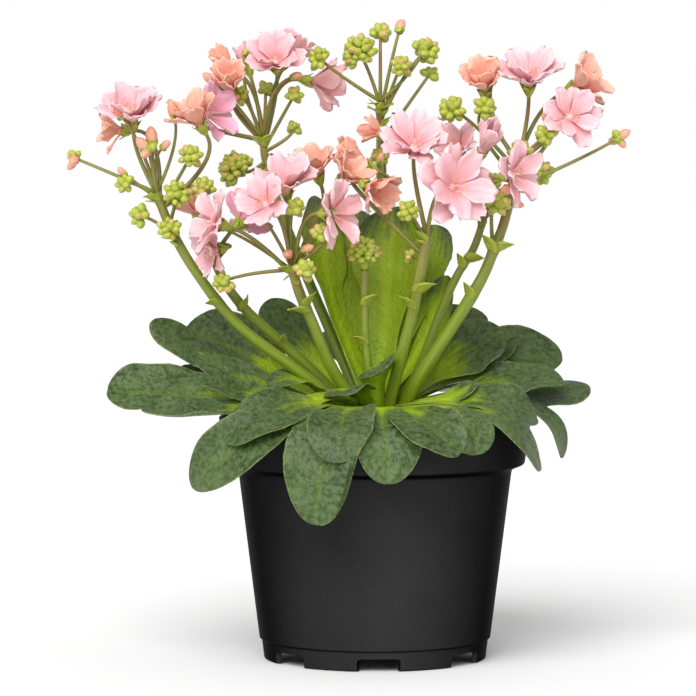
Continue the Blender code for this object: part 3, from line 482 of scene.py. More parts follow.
class StemSettings(bpy.types.PropertyGroup):
    foot: colour_setting("Lower stem", "Green of a stem near its foot", (0.205, 0.265, 0.012))
    top: colour_setting("Upper stem", "Olive and rosy green high on a stem", (0.205, 0.215, 0.045))
    blush: colour_setting("Blush", "Rosy brown that comes through on upper stems", (0.330, 0.110, 0.055))
    bud: colour_setting("Green bud", "Colour of a young bud", (0.430, 0.480, 0.055))
    ripe: colour_setting("Ripe bud", "Salmon tip of a bud that is about to open", (0.820, 0.360, 0.240))


class FlowerSettings(bpy.types.PropertyGroup):
    pink: colour_setting("Pink petal", "Outer part of most petals", (0.880, 0.550, 0.590))
    salmon: colour_setting("Salmon petal", "Outer part of the peach petals", (0.920, 0.500, 0.390))
    magenta: colour_setting("Magenta petal", "Outer part of the deep pink petals", (0.860, 0.470, 0.600))
    vein: colour_setting("Vein", "Fine lines that fan out over a petal", (0.760, 0.230, 0.300))
    thickness: length_setting("Petal thickness", "Thickness of a petal", 0.0005)


class StageSettings(bpy.types.PropertyGroup):
    key: FloatProperty(name="Key light", description="Strength of the lamp in front", min=0.0, default=2.8)
    light: FloatProperty(name="Room light", description="Strength of the even light", min=0.0, default=1.0)
    floor: colour_setting("Floor", "Plain pale floor", (0.97, 0.97, 0.97))


def settings(name):
    """The sizes and colours of one group of pieces."""
    return getattr(bpy.context.scene, "lewisia_" + name)


# Mesh building

class Skin:
    """Collects lofted surfaces, with a place across and along for each point and a tone for its shading."""

    def __init__(self):
        self.points, self.faces, self.places, self.tones = [], [], [], []

    def loft(self, rings, places, tone):
        """Skins closed rings of points and caps both ends. places has (across, along) for each point.
        tone is three shares for all points, or a list with those of each point in a ring."""
        first, count = len(self.points), len(rings[0])
        last = first + (len(rings) - 1) * count
        for ring, row in zip(rings, places):
            self.points += ring
            self.places += row
            self.tones += tone if isinstance(tone, list) else [tone] * count
        for low in range(first, last, count):
            for k in range(count):
                j = (k + 1) % count
                self.faces.append((low + k, low + j, low + count + j, low + count + k))
        self.faces.append(tuple(reversed(range(first, first + count))))
        self.faces.append(tuple(range(last, last + count)))

    def finish(self, name, material, slot, nodes=()):
        """Makes the object in metres from points in millimetres, and places it with its material as a piece
        of the plant, hiding the solids that it stands for.
        """
        mesh = bpy.data.meshes.new(name)
        mesh.from_pydata([kept_inside(point * MM) for point in self.points], [], self.faces)
        mesh.update()
        blade = mesh.uv_layers.new(name="blade")
        tone = mesh.color_attributes.new(name="tone", type="FLOAT_COLOR", domain="POINT")
        corners = [0] * len(mesh.loops)
        mesh.loops.foreach_get("vertex_index", corners)
        blade.uv.foreach_set("vector", [value for corner in corners for value in self.places[corner]])
        tone.data.foreach_set("color", [value for shares in self.tones for value in (*shares, 1.0)])
        mesh.shade_smooth()
        return place_piece(name, mesh, material, nodes)


def kept_inside(point):
    """The point, moved into the box of the solids where a wave or a twist takes it just outside."""
    low, high = CAD_BOX
    return Vector(min(max(value, a + BOX_GAP), b - BOX_GAP) for value, a, b in zip(point, low, high))


def linked_object(name, data):
    made = bpy.data.objects.new(name, data)
    bpy.context.scene.collection.objects.link(made)
    return made


def place_piece(name, mesh, material, nodes):
    """Links a mesh as a piece of the plant that rides with the pot."""
    mesh.materials.clear()
    mesh.materials.append(material)
    piece = linked_object(name, mesh)
    if nodes:
        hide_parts(*nodes)
    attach(piece, "root")
    return piece


def direction(turn, rise):
    """The unit vector of a turn about the vertical and a rise above the horizon, in degrees."""
    turn, rise = math.radians(turn), math.radians(rise)
    flat = math.cos(rise)
    return Vector((math.cos(turn) * flat, math.sin(turn) * flat, math.sin(rise)))


def frame_across(axis):
    """Two unit vectors at right angles to an axis and to each other."""
    side = axis.cross(Vector((0, 0, 1)))
    if side.length < 0.05:
        side = axis.cross(Vector((0, 1, 0)))
    side.normalize()
    return side, side.cross(axis).normalized()


def around(side, other, turn):
    """The way that lies a turn round from side towards other."""
    return side * math.cos(turn) + other * math.sin(turn)


def turns(count):
    """The angles of a number of points spaced evenly round a circle."""
    return [2 * math.pi * k / count for k in range(count)]


def smooth_step(x):
    """Eases from 0 to 1 as x goes from 0 to 1."""
    x = min(1.0, max(0.0, x))
    return x * x * (3 - 2 * x)


def blend(a, b, share):
    """The number that lies a share of the way from a to b."""
    return a + (b - a) * share


def ring_row(sides, along):
    """The places of a ring's points, all at one share along."""
    return [(k / sides, along) for k in range(sides)]


def plain_tone(draw):
    """A random first share, for a small shade of a shape's own, and none of the others."""
    return draw.random(), 0.0, 0.0


def bow(start, control, end, t):
    """The point at a share t of a simple curve."""
    return start * (1 - t) ** 2 + control * 2 * t * (1 - t) + end * t * t


def tube(skin, centres, radii, sides, tone, along=(0.0, 1.0)):
    """A round tube through the centres, with a radius at each."""
    rings, places = [], []
    last = len(centres) - 1
    side, _ = frame_across((centres[1] - centres[0]).normalized())
    for i, centre in enumerate(centres):
        ahead = (centres[min(i + 1, last)] - centres[max(i - 1, 0)]).normalized()
        side = (side - ahead * side.dot(ahead)).normalized()
        other = ahead.cross(side)
        rings.append([centre + around(side, other, turn) * radii[i] for turn in turns(sides)])
        places.append(ring_row(sides, blend(*along, i / last)))
    skin.loft(rings, places, tone)


def turned(skin, foot, axis, profile, sides, tone, ribs=0, rib_depth=0.0):
    """A body turned about an axis from (height, radius) pairs, with a number of ribs along it."""
    side, other = frame_across(axis)
    rings = []
    for height, radius in profile:
        reaches = [radius * (1 + rib_depth * math.cos(ribs * turn)) for turn in turns(sides)]
        ring = [around(side, -other, turn) * reach for turn, reach in zip(turns(sides), reaches)]
        rings.append([foot + axis * height + out for out in ring])
    skin.loft(rings, [ring_row(sides, height / profile[-1][0]) for height, _ in profile], tone)


def section_across(steps):
    """Places from -1 to 1 across a blade, closer together towards its margins."""
    return [math.sin(0.5 * math.pi * (k / steps - 1)) for k in range(2 * steps + 1)]


def blade(skin, stations, section, tone):
    """A thin leaf or petal. stations gives, for each share along it, a function of the place across
    (-1 to 1), which returns the middle point, the way up and half the thickness. tone is two shares."""
    rings, places = [], []
    for along, shape in stations:
        upper, lower = [], []
        for u in section:
            point, up, half = shape(u)
            upper.append(point + up * half)
            lower.append(point - up * half)
        left, right = (upper[0] + lower[0]) * 0.5, (upper[-1] + lower[-1]) * 0.5
        inner = [(0.5 + 0.5 * u, along) for u in section[1:-1]]
        rings.append([*lower[1:-1], right, *reversed(upper[1:-1]), left])
        places.append([*inner, (1.0, along), *reversed(inner), (0.0, along)])
    count = len(section)
    skin.loft(rings, places, [(*tone, 1.0)] * (count - 2) + [(*tone, 0.0)] * count)


# Shader nodes

class Nodes:
    """Short calls that place and link the nodes of one tree."""

    def __init__(self, tree):
        self.nodes, self.links = tree.nodes, tree.links

    def feed(self, socket, value):
        """Links a socket to another, or sets it to a plain value."""
        if isinstance(value, bpy.types.NodeSocket):
            self.links.new(value, socket)
        else:
            socket.default_value = value

    def add(self, kind, **inputs):
        """A node with its inputs fed by name. An underscore stands for a space."""
        node = self.nodes.new("ShaderNode" + kind)
        for label, value in inputs.items():
            self.feed(node.inputs[label.replace("_", " ")], value)
        return node

    def math(self, operation, *values, clamp=False):
        node = self.nodes.new("ShaderNodeMath")
        node.operation = operation
        node.use_clamp = clamp
        for socket, value in zip(node.inputs, values):
            self.feed(socket, value)
        return node.outputs[0]

    def times(self, a, b):
        return self.math("MULTIPLY", a, b)

    def plus(self, a, b, clamp=False):
        return self.math("ADD", a, b, clamp=clamp)

    def minus(self, a, b, clamp=False):
        return self.math("SUBTRACT", a, b, clamp=clamp)

    def ramp(self, value, low, high):
        """Maps low to high of a value onto 0 to 1, smoothly."""
        node = self.add("MapRange", From_Min=low, From_Max=high, Value=value)
        node.interpolation_type = "SMOOTHSTEP"
        return node.outputs["Result"]

    def tone(self):
        """The three shares of the tone attribute."""
        node = self.add("Attribute")
        node.attribute_name = "tone"
        return self.add("SeparateColor", Color=node.outputs["Color"]).outputs


def shared_group(name, inputs, outputs, fill):
    """The node group of a name, filled when it is first asked for. All its sockets are numbers."""
    group = bpy.data.node_groups.get(name)
    if group:
        return group
    group = bpy.data.node_groups.new(name, "ShaderNodeTree")
    kind = "NodeSocketFloat"
    for label, value in inputs.items():
        group.interface.new_socket(name=label, in_out="INPUT", socket_type=kind).default_value = value
    for label in outputs:
        group.interface.new_socket(name=label, in_out="OUTPUT", socket_type=kind)
    start, end = group.nodes.new("NodeGroupInput"), group.nodes.new("NodeGroupOutput")
    fill(Nodes(group), start.outputs, end.inputs)
    return group


def fill_mottle(tree, given, out):
    """Uneven patches: a mask of soft noise about 0.5, in object space."""
    place = tree.add("TexCoord").outputs["Object"]
    patches = tree.add("TexNoise", Detail=3.0, Vector=place, Scale=given["Size"])
    patches = tree.times(tree.minus(patches.outputs["Fac"], 0.5), given["Contrast"])
    tree.feed(out["Mask"], tree.plus(patches, 0.5, clamp=True))


def fill_streaks(tree, given, out):
    """Fine lines that run along a blade or stem, fanned by the place across it."""
    place = tree.add("UVMap")
    place.uv_map = "blade"
    split = tree.add("SeparateXYZ", Vector=place.outputs["UV"]).outputs
    across = tree.times(split["X"], given["Lines"])
    along = tree.times(split["Y"], given["Length"])
    join = tree.add("CombineXYZ", X=across, Y=along, Z=tree.times(tree.tone()["Red"], 37.0))
    lines = tree.add("TexNoise", Scale=1.0, Detail=2.0, Vector=join.outputs["Vector"])
    tree.feed(out["Mask"], tree.ramp(lines.outputs["Fac"], 0.36, 0.66))
    tree.feed(out["Across"], split["X"])
    tree.feed(out["Along"], split["Y"])


def fill_grain(tree, given, out):
    """Two sizes of soft relief added up, for a Bump node's height."""
    place = tree.add("TexCoord").outputs["Object"]
    coarse, fine = (tree.add("TexNoise", Detail=2.0, Vector=place, Scale=given[label]).outputs["Fac"]
                    for label in ("Coarse", "Fine"))
    tree.feed(out["Height"], tree.plus(coarse, tree.times(fine, 0.35)))


# Materials

class Finish(Nodes):
    """A material with one main shader. shade is its base colour so far."""

    def __init__(self, name, **values):
        self.material = bpy.data.materials.new(name)
        self.material.use_nodes = True
        super().__init__(self.material.node_tree)
        self.shader = self.nodes["Principled BSDF"]
        self.shade = None
        self.set(**values)

    def set(self, **values):
        """Feeds the shader's own inputs by name. An underscore stands for a space."""
        for label, value in values.items():
            self.feed(self.shader.inputs[label.replace("_", " ")], value)

    def group(self, tree, **values):
        node = self.nodes.new("ShaderNodeGroup")
        node.node_tree = tree
        for label, value in values.items():
            self.feed(node.inputs[label], value)
        return node.outputs

    def mottle(self, size, contrast):
        tree = shared_group("Mottle", {"Size": 100.0, "Contrast": 1.0}, ("Mask",), fill_mottle)
        return self.group(tree, Size=size, Contrast=contrast)["Mask"]

    def streaks(self, lines, length):
        """The mask of the streaks, and the places across and along."""
        inputs, outputs = {"Lines": 20.0, "Length": 2.0}, ("Mask", "Across", "Along")
        tree = shared_group("Streaks", inputs, outputs, fill_streaks)
        return self.group(tree, Lines=lines, Length=length)

    def grain(self, coarse, fine):
        tree = shared_group("Grain", {"Coarse": 200.0, "Fine": 1500.0}, ("Height",), fill_grain)
        return self.group(tree, Coarse=coarse, Fine=fine)["Height"]

    def edge(self, across):
        """0 in the middle of a blade and 1 at both margins."""
        return self.times(self.math("ABSOLUTE", self.minus(across, 0.5)), 2.0)

    def mix(self, share, first, second):
        """Colour between first and second, which are colours or sockets. share is a number or a socket."""
        node = self.nodes.new("ShaderNodeMix")
        node.data_type = "RGBA"
        self.feed(node.inputs[0], share)
        for index, value in ((6, first), (7, second)):
            linked = isinstance(value, bpy.types.NodeSocket)
            self.feed(node.inputs[index], value if linked else (*value, 1.0))
        return node.outputs[2]

    def lay(self, share, colour):
        """Lays a colour over the shade so far."""
        self.shade = self.mix(share, self.shade, colour)

    def bump(self, height, strength, distance):
        node = self.add("Bump", Strength=strength, Distance=distance, Height=height)
        self.set(Normal=node.outputs["Normal"])

    def done(self):
        self.set(Base_Color=self.shade)
        return self.material


def scaled(colour, by):
    """A colour with each channel multiplied, up to 1."""
    return tuple(min(1.0, a * b) for a, b in zip(colour, by))


def leaf_finish():
    """Dark glossy green blade with light mottling, partly its own frosted skin and partly painted sheen and
    shade, bright stalk and rib, pale margin, paler underside.
    """
    look = settings("leaf")
    finish = Finish("leaf_skin", Specular_IOR_Level=0.26, Subsurface_Weight=0.06,
                    Subsurface_Radius=(0.002, 0.004, 0.001))
    streaks = finish.streaks(16.0, 2.5)
    mottle, patches = finish.mottle(520.0, 4.6), finish.mottle(95.0, 2.2)
    red, green, under = finish.tone()
    along, edge = streaks["Along"], finish.edge(streaks["Across"])
    wander = finish.times(finish.minus(streaks["Mask"], 0.5), 0.07)
    wander = finish.plus(wander, finish.times(finish.minus(patches, 0.5), 0.16))
    reach = finish.minus(finish.plus(along, wander), finish.times(green, 0.42))
    dark = finish.ramp(finish.plus(reach, finish.times(edge, 0.12)), 0.39, 0.66)
    lines = finish.times(streaks["Mask"], 0.5)
    stalk = finish.mix(lines, look.stalk, scaled(look.stalk, (0.72, 0.80, 0.7)))
    glow = finish.minus(1.0, finish.ramp(edge, 0.0, 0.55), clamp=True)
    stalk = finish.mix(finish.times(glow, 0.55), stalk, scaled(look.stalk, (1.6, 1.5, 2.2)))
    # Light patches and pale speckles: partly the leaf's own frosted, mottled skin, partly painted sheen and
    # highlights on its folds, with painted shade in the darker patches
    finish.shade = finish.mix(patches, look.blade, scaled(look.blade, (3.2, 2.6, 2.8)))
    finish.lay(finish.times(mottle, 0.42), scaled(look.blade, (7.0, 5.2, 9.0)))
    rib = finish.minus(1.0, finish.ramp(edge, 0.0, 0.14), clamp=True)
    finish.lay(finish.times(rib, 0.26), scaled(look.stalk, (0.45, 0.5, 0.9)))
    finish.shade = finish.mix(dark, stalk, finish.shade)
    pale = finish.mix(finish.ramp(along, 0.3, 0.9), stalk, scaled(look.blade, (3.0, 3.0, 2.6)))
    finish.lay(finish.times(under, 0.85), pale)
    dots = finish.plus(finish.times(finish.mottle(850.0, 4.0), 0.8), 0.2)
    finish.lay(finish.times(finish.ramp(edge, 0.94, 0.995), dots), look.margin)
    finish.lay(finish.times(red, 0.30), scaled(look.blade, (0.8, 0.8, 0.8)))
    finish.set(Roughness=finish.plus(finish.times(mottle, 0.20), 0.26))
    finish.bump(finish.grain(230.0, 1100.0), 0.95, 0.0012)
    return finish.done()


def stem_finish():
    """Green stem with fine lines, which turns olive and rosy higher up."""
    look = settings("stem")
    finish = Finish("stem_skin", Roughness=0.38, Subsurface_Weight=0.10,
                    Subsurface_Radius=(0.003, 0.004, 0.001))
    streaks = finish.streaks(26.0, 9.0)
    red = finish.tone()[0]
    high = finish.ramp(streaks["Along"], 0.35, 1.05)
    finish.shade = finish.mix(streaks["Mask"], look.foot, scaled(look.foot, (0.72, 0.84, 0.8)))
    finish.lay(finish.times(high, 0.75), look.top)
    blush = finish.times(high, finish.mottle(90.0, 1.8))
    finish.lay(finish.times(blush, finish.plus(finish.times(red, 0.6), 0.25)), look.blush)
    finish.bump(finish.grain(500.0, 2400.0), 0.30, 0.0003)
    return finish.done()


def bud_finish():
    """Green buds and sepals with rosy edges. A ripe bud's tip shows its petals."""
    look = settings("stem")
    finish = Finish("bud_skin", Roughness=0.42, Subsurface_Weight=0.10,
                    Subsurface_Radius=(0.003, 0.002, 0.001))
    streaks = finish.streaks(12.0, 2.0)
    red, ripe, rosier = finish.tone()
    along = streaks["Along"]
    finish.shade = finish.mix(streaks["Mask"], look.bud, scaled(look.bud, (0.62, 0.76, 0.8)))
    finish.lay(finish.times(finish.mottle(600.0, 2.0), 0.35), scaled(look.bud, (1.5, 1.35, 1.6)))
    rosy = finish.plus(finish.times(red, 0.22), finish.times(rosier, 0.12))
    finish.lay(finish.times(finish.ramp(along, 0.62, 0.98), rosy), look.blush)
    opened = finish.ramp(finish.plus(along, finish.times(ripe, 0.35)), 0.55, 0.80)
    finish.lay(finish.times(opened, ripe), look.ripe)
    finish.bump(finish.grain(700.0, 2600.0), 0.35, 0.0003)
    return finish.done()


def petal_finish(name, outer, heart, back):
    """A petal: pale at its tip, warmer at its heart and on its back, with fine veins that fan out."""
    finish = Finish(name, Sheen_Weight=0.15, Subsurface_Weight=0.45,
                    Subsurface_Radius=(0.004, 0.002, 0.002))
    veins = finish.streaks(30.0, 1.6)
    red, _, under = finish.tone()
    along, edge = veins["Along"], finish.edge(veins["Across"])
    pale = scaled(outer, (1.10, 1.35, 1.30))
    finish.shade = finish.mix(finish.ramp(along, 0.05, 0.75), heart, outer)
    finish.lay(finish.times(finish.ramp(along, 0.70, 1.0), 0.55), pale)
    finish.lay(finish.times(finish.ramp(edge, 0.55, 1.0), 0.45), pale)
    finish.lay(finish.times(finish.streaks(7.0, 1.2)["Mask"], 0.22), pale)
    fade = finish.minus(1.0, finish.times(finish.ramp(along, 0.35, 0.98), 0.75))
    finish.lay(finish.times(finish.times(veins["Mask"], fade), 0.34), settings("flower").vein)
    middle = finish.minus(1.0, finish.ramp(edge, 0.0, 0.16), clamp=True)
    finish.lay(finish.times(finish.times(middle, fade), 0.35), heart)
    finish.lay(finish.times(under, 0.55), back)
    finish.lay(finish.times(red, 0.22), heart)
    finish.set(Roughness=finish.plus(finish.times(veins["Mask"], 0.12), 0.42))
    finish.bump(veins["Mask"], 0.22, 0.0003)
    return finish.done()


def plain_part_finish(name, colour, roughness):
    """A small soft part such as an anther or a filament."""
    finish = Finish(name, Roughness=roughness)
    finish.shade = finish.mix(finish.mottle(900.0, 1.6), colour, scaled(colour, (0.75, 0.62, 0.55)))
    return finish.done()


def pot_finish():
    """Thin moulded plastic: near black, with painted shade where it turns away from the view, turning lines
    and some dust.
    """
    look = settings("pot")
    finish = Finish("pot_plastic", Specular_IOR_Level=0.004)
    patches = finish.mottle(26.0, 1.4)
    finish.shade = finish.mix(patches, look.colour, scaled(look.colour, (1.7, 1.7, 1.7)))
    specks = finish.ramp(finish.mottle(900.0, 5.0), 0.90, 1.0)
    finish.lay(finish.times(specks, 0.05), (0.10, 0.10, 0.10))
    # Painted shade: the base colour falls towards black where the surface turns away from the view, so the
    # pot's sides look dark
    facing = finish.add("LayerWeight", Blend=0.5).outputs["Facing"]
    finish.lay(finish.times(facing, 1.6), scaled(look.colour, (0.1, 0.1, 0.1)))
    finish.set(Roughness=finish.plus(finish.times(patches, 0.14), 0.36))
    place = finish.add("TexCoord").outputs["Object"]
    lines = finish.add("TexWave", Scale=260.0, Distortion=0.6, Vector=place)
    lines.bands_direction = "Z"
    relief = finish.plus(finish.times(lines.outputs["Fac"], 0.25), finish.grain(240.0, 2200.0))
    finish.bump(relief, 0.10, 0.0003)
    return finish.done()


def soil_finish():
    """Moist brown mix with darker and lighter crumbs."""
    colour = settings("soil").colour
    finish = Finish("potting_mix", Roughness=0.92)
    finish.shade = finish.mix(finish.mottle(500.0, 3.0), scaled(colour, (0.45, 0.45, 0.45)), colour)
    finish.lay(finish.times(finish.mottle(60.0, 1.5), 0.4), scaled(colour, (2.2, 2.0, 1.8)))
    finish.bump(finish.grain(400.0, 1600.0), 0.9, 0.0015)
    return finish.done()


# Pot and soil

def level_ring(sides, radius, height):
    """Points round the upright axis, all at one height."""
    return [Vector((radius * math.cos(turn), radius * math.sin(turn), height)) for turn in turns(sides)]


def ring_profile(sides, profile):
    """Points and faces of (radius, height) pairs turned about the upright axis, from axis to axis."""
    points = [Vector((0, 0, profile[0][1]))]
    for radius, height in profile[1:-1]:
        points += level_ring(sides, radius, height)
    points.append(Vector((0, 0, profile[-1][1])))
    faces = []
    last = 1 + (len(profile) - 3) * sides
    for k in range(sides):
        j = (k + 1) % sides
        faces.append((0, 1 + j, 1 + k))
        for low in range(1, last, sides):
            faces.append((low + k, low + j, low + sides + j, low + sides + k))
        faces.append((last + k, last + j, len(points) - 1))
    return points, faces


def rounded(corner, before, after, radius, steps=4):
    """The points of a small arc that rounds a corner of a profile."""
    corner, before, after = (Vector(p) for p in (corner, before, after))
    start = corner + (before - corner).normalized() * radius
    end = corner + (after - corner).normalized() * radius
    return [tuple(bow(start, corner, end, i / steps)) for i in range(steps + 1)]


def rounded_profile(rows):
    """A profile of (radius, height, rounding) rows with each inner corner rounded, where it isn't 0."""
    corners = [row[:2] for row in rows]
    made = [corners[0]]
    for i in range(1, len(rows) - 1):
        made += rounded(corners[i], corners[i - 1], corners[i + 1], rows[i][2])
    return [*made, corners[-1]]


def pot_profile(bead):
    """The pot's outline from its middle foot, out and up over the rim, and down inside to its floor."""
    return rounded_profile((
        (0, 0, 0),
        (HUB_RADIUS, 0, 0.4),
        (HUB_RADIUS + 0.5, FLOOR_UNDERSIDE, 0.6),
        (FOOT_RADIUS - WALL - 0.2, FLOOR_UNDERSIDE, 0.8),
        (FOOT_RADIUS - WALL - 0.4, 0, 0.3),
        (FOOT_RADIUS, 0, 0.4),
        (BAND_RADIUS - 0.9, BAND_HEIGHT, 0.3),
        (BAND_RADIUS, BAND_HEIGHT + 0.6, 0.4),
        (SHOULDER_RADIUS, SHOULDER_HEIGHT, 1.4),
        (RIM_FOOT_RADIUS, RIM_FOOT_HEIGHT, 0.9),
        (RIM_RADIUS, POT_HEIGHT, bead),
        (RIM_RADIUS - WALL, POT_HEIGHT, bead * 0.9),
        (RIM_FOOT_RADIUS - WALL, RIM_FOOT_HEIGHT + WALL, 0.6),
        (SHOULDER_RADIUS - WALL, SHOULDER_HEIGHT + WALL, 0.9),
        (BAND_RADIUS - WALL, FLOOR_TOP, 1.0),
        (0, FLOOR_TOP, 0),
    ))


def notch_cutter(turn):
    """A block through the foot, narrower inside, with its upper corners drawn in and rounded."""
    bends = [math.radians(90 * i / 4) for i in range(5)]
    arc = [(0.5 - 0.12 * (1 - math.cos(bend)), NOTCH_HEIGHT - 1.4 * (1 - math.sin(bend))) for bend in bends]
    left = [(-across, height) for across, height in arc]
    outline = [(-0.5, -1.0), *left, *reversed(arc), (0.5, -1.0)]
    points = []
    for reach, width in ((FOOT_RADIUS - 6.0, NOTCH_INNER_WIDTH), (FOOT_RADIUS + 3.0, NOTCH_WIDTH)):
        points += [Vector((reach, across * width, height)) for across, height in outline]
    count = len(outline)
    faces = [tuple(range(count)), tuple(count + k for k in reversed(range(count)))]
    for k in range(count):
        j = (k + 1) % count
        faces.append((k, count + k, count + j, j))
    spin = Matrix.Rotation(math.radians(turn), 3, "Z")
    return [spin @ p for p in points], faces


def drain_cutter(turn):
    """A round plug through the pot's floor."""
    centre = direction(turn, 0) * DRAIN_HOLE_RING
    profile = ((0, 3.0), (DRAIN_HOLE_RADIUS, 3.0), (DRAIN_HOLE_RADIUS, 9.0), (0, 9.0))
    points, faces = ring_profile(DRAIN_HOLE_SIDES, profile)
    return [p + centre for p in points], faces


def bare_object(name, points, faces):
    """An object from points in millimetres, with its faces turned outward and no material yet."""
    mesh = bpy.data.meshes.new(name)
    mesh.from_pydata([p * MM for p in points], [], faces)
    edit = bmesh.new()
    edit.from_mesh(mesh)
    bmesh.ops.recalc_face_normals(edit, faces=edit.faces)
    edit.to_mesh(mesh)
    edit.free()
    return linked_object(name, mesh)


def cut_away(target, cutters):
    """Cuts the cutters out of the target's mesh and removes them. Returns the cut mesh."""
    for cutter in cutters:
        cut = target.modifiers.new("cut", "BOOLEAN")
        cut.operation = "DIFFERENCE"
        cut.object = cutter
        cut.solver = "EXACT"
    graph = bpy.context.evaluated_depsgraph_get()
    mesh = bpy.data.meshes.new_from_object(target.evaluated_get(graph))
    for thing in (target, *cutters):
        bpy.data.objects.remove(thing)
    return mesh


class LEWISIA_OT_pot(bpy.types.Operator):
    """Builds the moulded pot with its foot notches and drain holes"""
    bl_idname = "lewisia.pot"
    bl_label = "Pot"

    def execute(self, context):
        look = settings("pot")
        body = bare_object("pot_body", *ring_profile(look.sides, pot_profile(look.rim_bead / MM)))
        cutters = []
        for index in range(NOTCHES):
            turn = FRONT_NOTCH_TURN + 360.0 * index / NOTCHES
            cutters.append(bare_object("notch", *notch_cutter(turn)))
            cutters.append(bare_object("drain", *drain_cutter(turn + 180.0 / NOTCHES)))
        mesh = cut_away(body, cutters)
        mesh.shade_smooth()
        mesh.set_sharp_from_angle(angle=math.radians(SHARP_BEND))
        place_piece("pot_shell", mesh, pot_finish(), ("pot",))
        return {"FINISHED"}


def on_soil(radius, turn, lift=0.0):
    """A point on the potting mix or a lift above it. The mix is a low mound, uneven and crumbly."""
    x, y = radius * math.cos(turn), radius * math.sin(turn)
    radius = math.hypot(x, y)
    mound = SOIL_MOUND * (1 - radius / RIM_FOOT_RADIUS)
    rough = noise.noise(Vector((x, y, 0)) * 0.12) * 1.1 + noise.noise(Vector((x, y, 7)) * 0.55) * 0.5
    return Vector((x, y, SOIL_EDGE_HEIGHT + mound + rough * smooth_step((56.0 - radius) / 3.0) + lift))


def crumb(skin, centre, size, draw):
    """A small uneven lump, made as a squashed and dented ball."""
    axis = direction(draw.uniform(0, 360), draw.uniform(-60, 90))
    profile = [(size * t, size * math.sin(math.pi * t) * draw.uniform(0.42, 0.62) + 0.01)
               for t in (0.0, 0.28, 0.62, 1.0)]
    turned(skin, centre - axis * (0.5 * size), axis, profile, 6, plain_tone(draw))


class LEWISIA_OT_soil(bpy.types.Operator):
    """Builds the potting mix with its crumbs"""
    bl_idname = "lewisia.soil"
    bl_label = "Soil"

    def execute(self, context):
        draw = random.Random(23)
        skin = Skin()
        edge = RIM_FOOT_RADIUS - WALL - 0.6
        sides = (
            (BAND_RADIUS - WALL - 1.0, FLOOR_TOP + 0.4),
            (SHOULDER_RADIUS - WALL - 0.6, SHOULDER_HEIGHT),
            (edge, RIM_FOOT_HEIGHT + WALL + 0.8),
            (edge, SOIL_EDGE_HEIGHT - 1.0),
        )
        rings = [level_ring(SOIL_SIDES, *pair) for pair in sides]
        for i in range(SOIL_RINGS - 1):
            rings.append([on_soil(edge * (1 - i / SOIL_RINGS), turn) for turn in turns(SOIL_SIDES)])
        places = [ring_row(SOIL_SIDES, index / len(rings)) for index in range(len(rings))]
        skin.loft(rings, places, (0.5, 0.0, 0.0))
        for _ in range(settings("soil").crumbs):
            radius = math.sqrt(draw.random()) * (edge - 2.0)
            turn = draw.uniform(0, 2 * math.pi)
            size = draw.uniform(0.7, 2.3)
            crumb(skin, on_soil(radius, turn, 0.2 * size), size, draw)
        skin.finish("potting_mix", soil_finish(), "soil", ("soil",))
        return {"FINISHED"}


# Leaves

def leaf_half_width(leaf, s, stalk):
    """Half the leaf's width at a share s of its length: a narrow stalk, then a blunt spoon."""
    foot = min(0.75, stalk / leaf.width)
    spoon = foot + (1 - foot) * smooth_step((s - 0.32) / 0.42)
    end = 1.0 if s < 0.78 else math.sqrt(max(0.0, 1 - ((s - 0.78) / 0.22) ** 2.3))
    return 0.5 * leaf.width * spoon * end


def leaf_thickness(s):
    """The leaf's thickness a share s of the way along it."""
    return blend(STALK_THICKNESS, LEAF_SKIN_THICKNESS, smooth_step(s / 0.45))


def leaf_frame(leaf, root, t):
    """Point, along, across and up at a share t of the leaf's rib."""
    tip, over = Vector(leaf.tip), Vector(leaf.over)
    radius, height = root
    heading = math.degrees(math.atan2(over.y, over.x))
    foot = direction(heading, 0) * radius + Vector((0, 0, height))
    first, second = (over - foot).length, (tip - over).length
    share = min(0.72, max(0.35, first / (first + second)))
    near = foot + direction(heading, leaf.rise) * (0.33 * (first + second))
    left = 1 - share
    known = foot * left ** 3 + near * (3 * left * left * share) + tip * share ** 3
    far = (over - known) / (3 * left * share * share)
    u = 1 - t
    at = foot * u ** 3 + near * 3 * u * u * t + far * 3 * u * t * t + tip * t ** 3
    along = ((near - foot) * u * u + (far - near) * 2 * u * t + (tip - far) * t * t).normalized()
    chord = (tip - foot).xy.normalized()
    flat = Vector((-0.5 * along.y - chord.y, 0.5 * along.x + chord.x, 0))
    flat = (flat - along * flat.dot(along)).normalized()
    across = Matrix.Rotation(math.radians(leaf.roll) * smooth_step(t * 1.6), 3, along) @ flat
    return at, along, across, along.cross(across)


def meets_pot(leaf, root, stalk):
    """Whether any part of the leaf's underside comes too near the soil or the pot's rim."""
    for i in range(CHECKS_ALONG_LEAF + 1):
        s = i / CHECKS_ALONG_LEAF
        centre, _, across, up = leaf_frame(leaf, root, s)
        half = leaf_half_width(leaf, s, stalk)
        for u in (-1.0, -0.5, 0.0, 0.5, 1.0):
            point = centre + across * (u * half) + up * (0.12 * half * u * u - 0.5 * leaf_thickness(s))
            radius = math.hypot(point.x, point.y)
            if RIM_INNER_RADIUS < radius < RIM_RADIUS + 0.6 and point.z < POT_HEIGHT + 0.5:
                return True
            over_soil = CROWN_RADIUS + 3.0 < radius <= RIM_INNER_RADIUS
            if over_soil and point.z < SOIL_EDGE_HEIGHT + SOIL_MOUND + 0.5:
                return True
    return False


def raised_clear(leaf, root, stalk):
    """The leaf, set off a little steeper and higher at a time until it passes over the soil and the rim."""
    for _ in range(MOST_LIFTS):
        if not meets_pot(leaf, root, stalk):
            break
        x, y, z = leaf.over
        leaf = leaf._replace(rise=leaf.rise + 1, over=(x, y, z + 0.5))
    return leaf


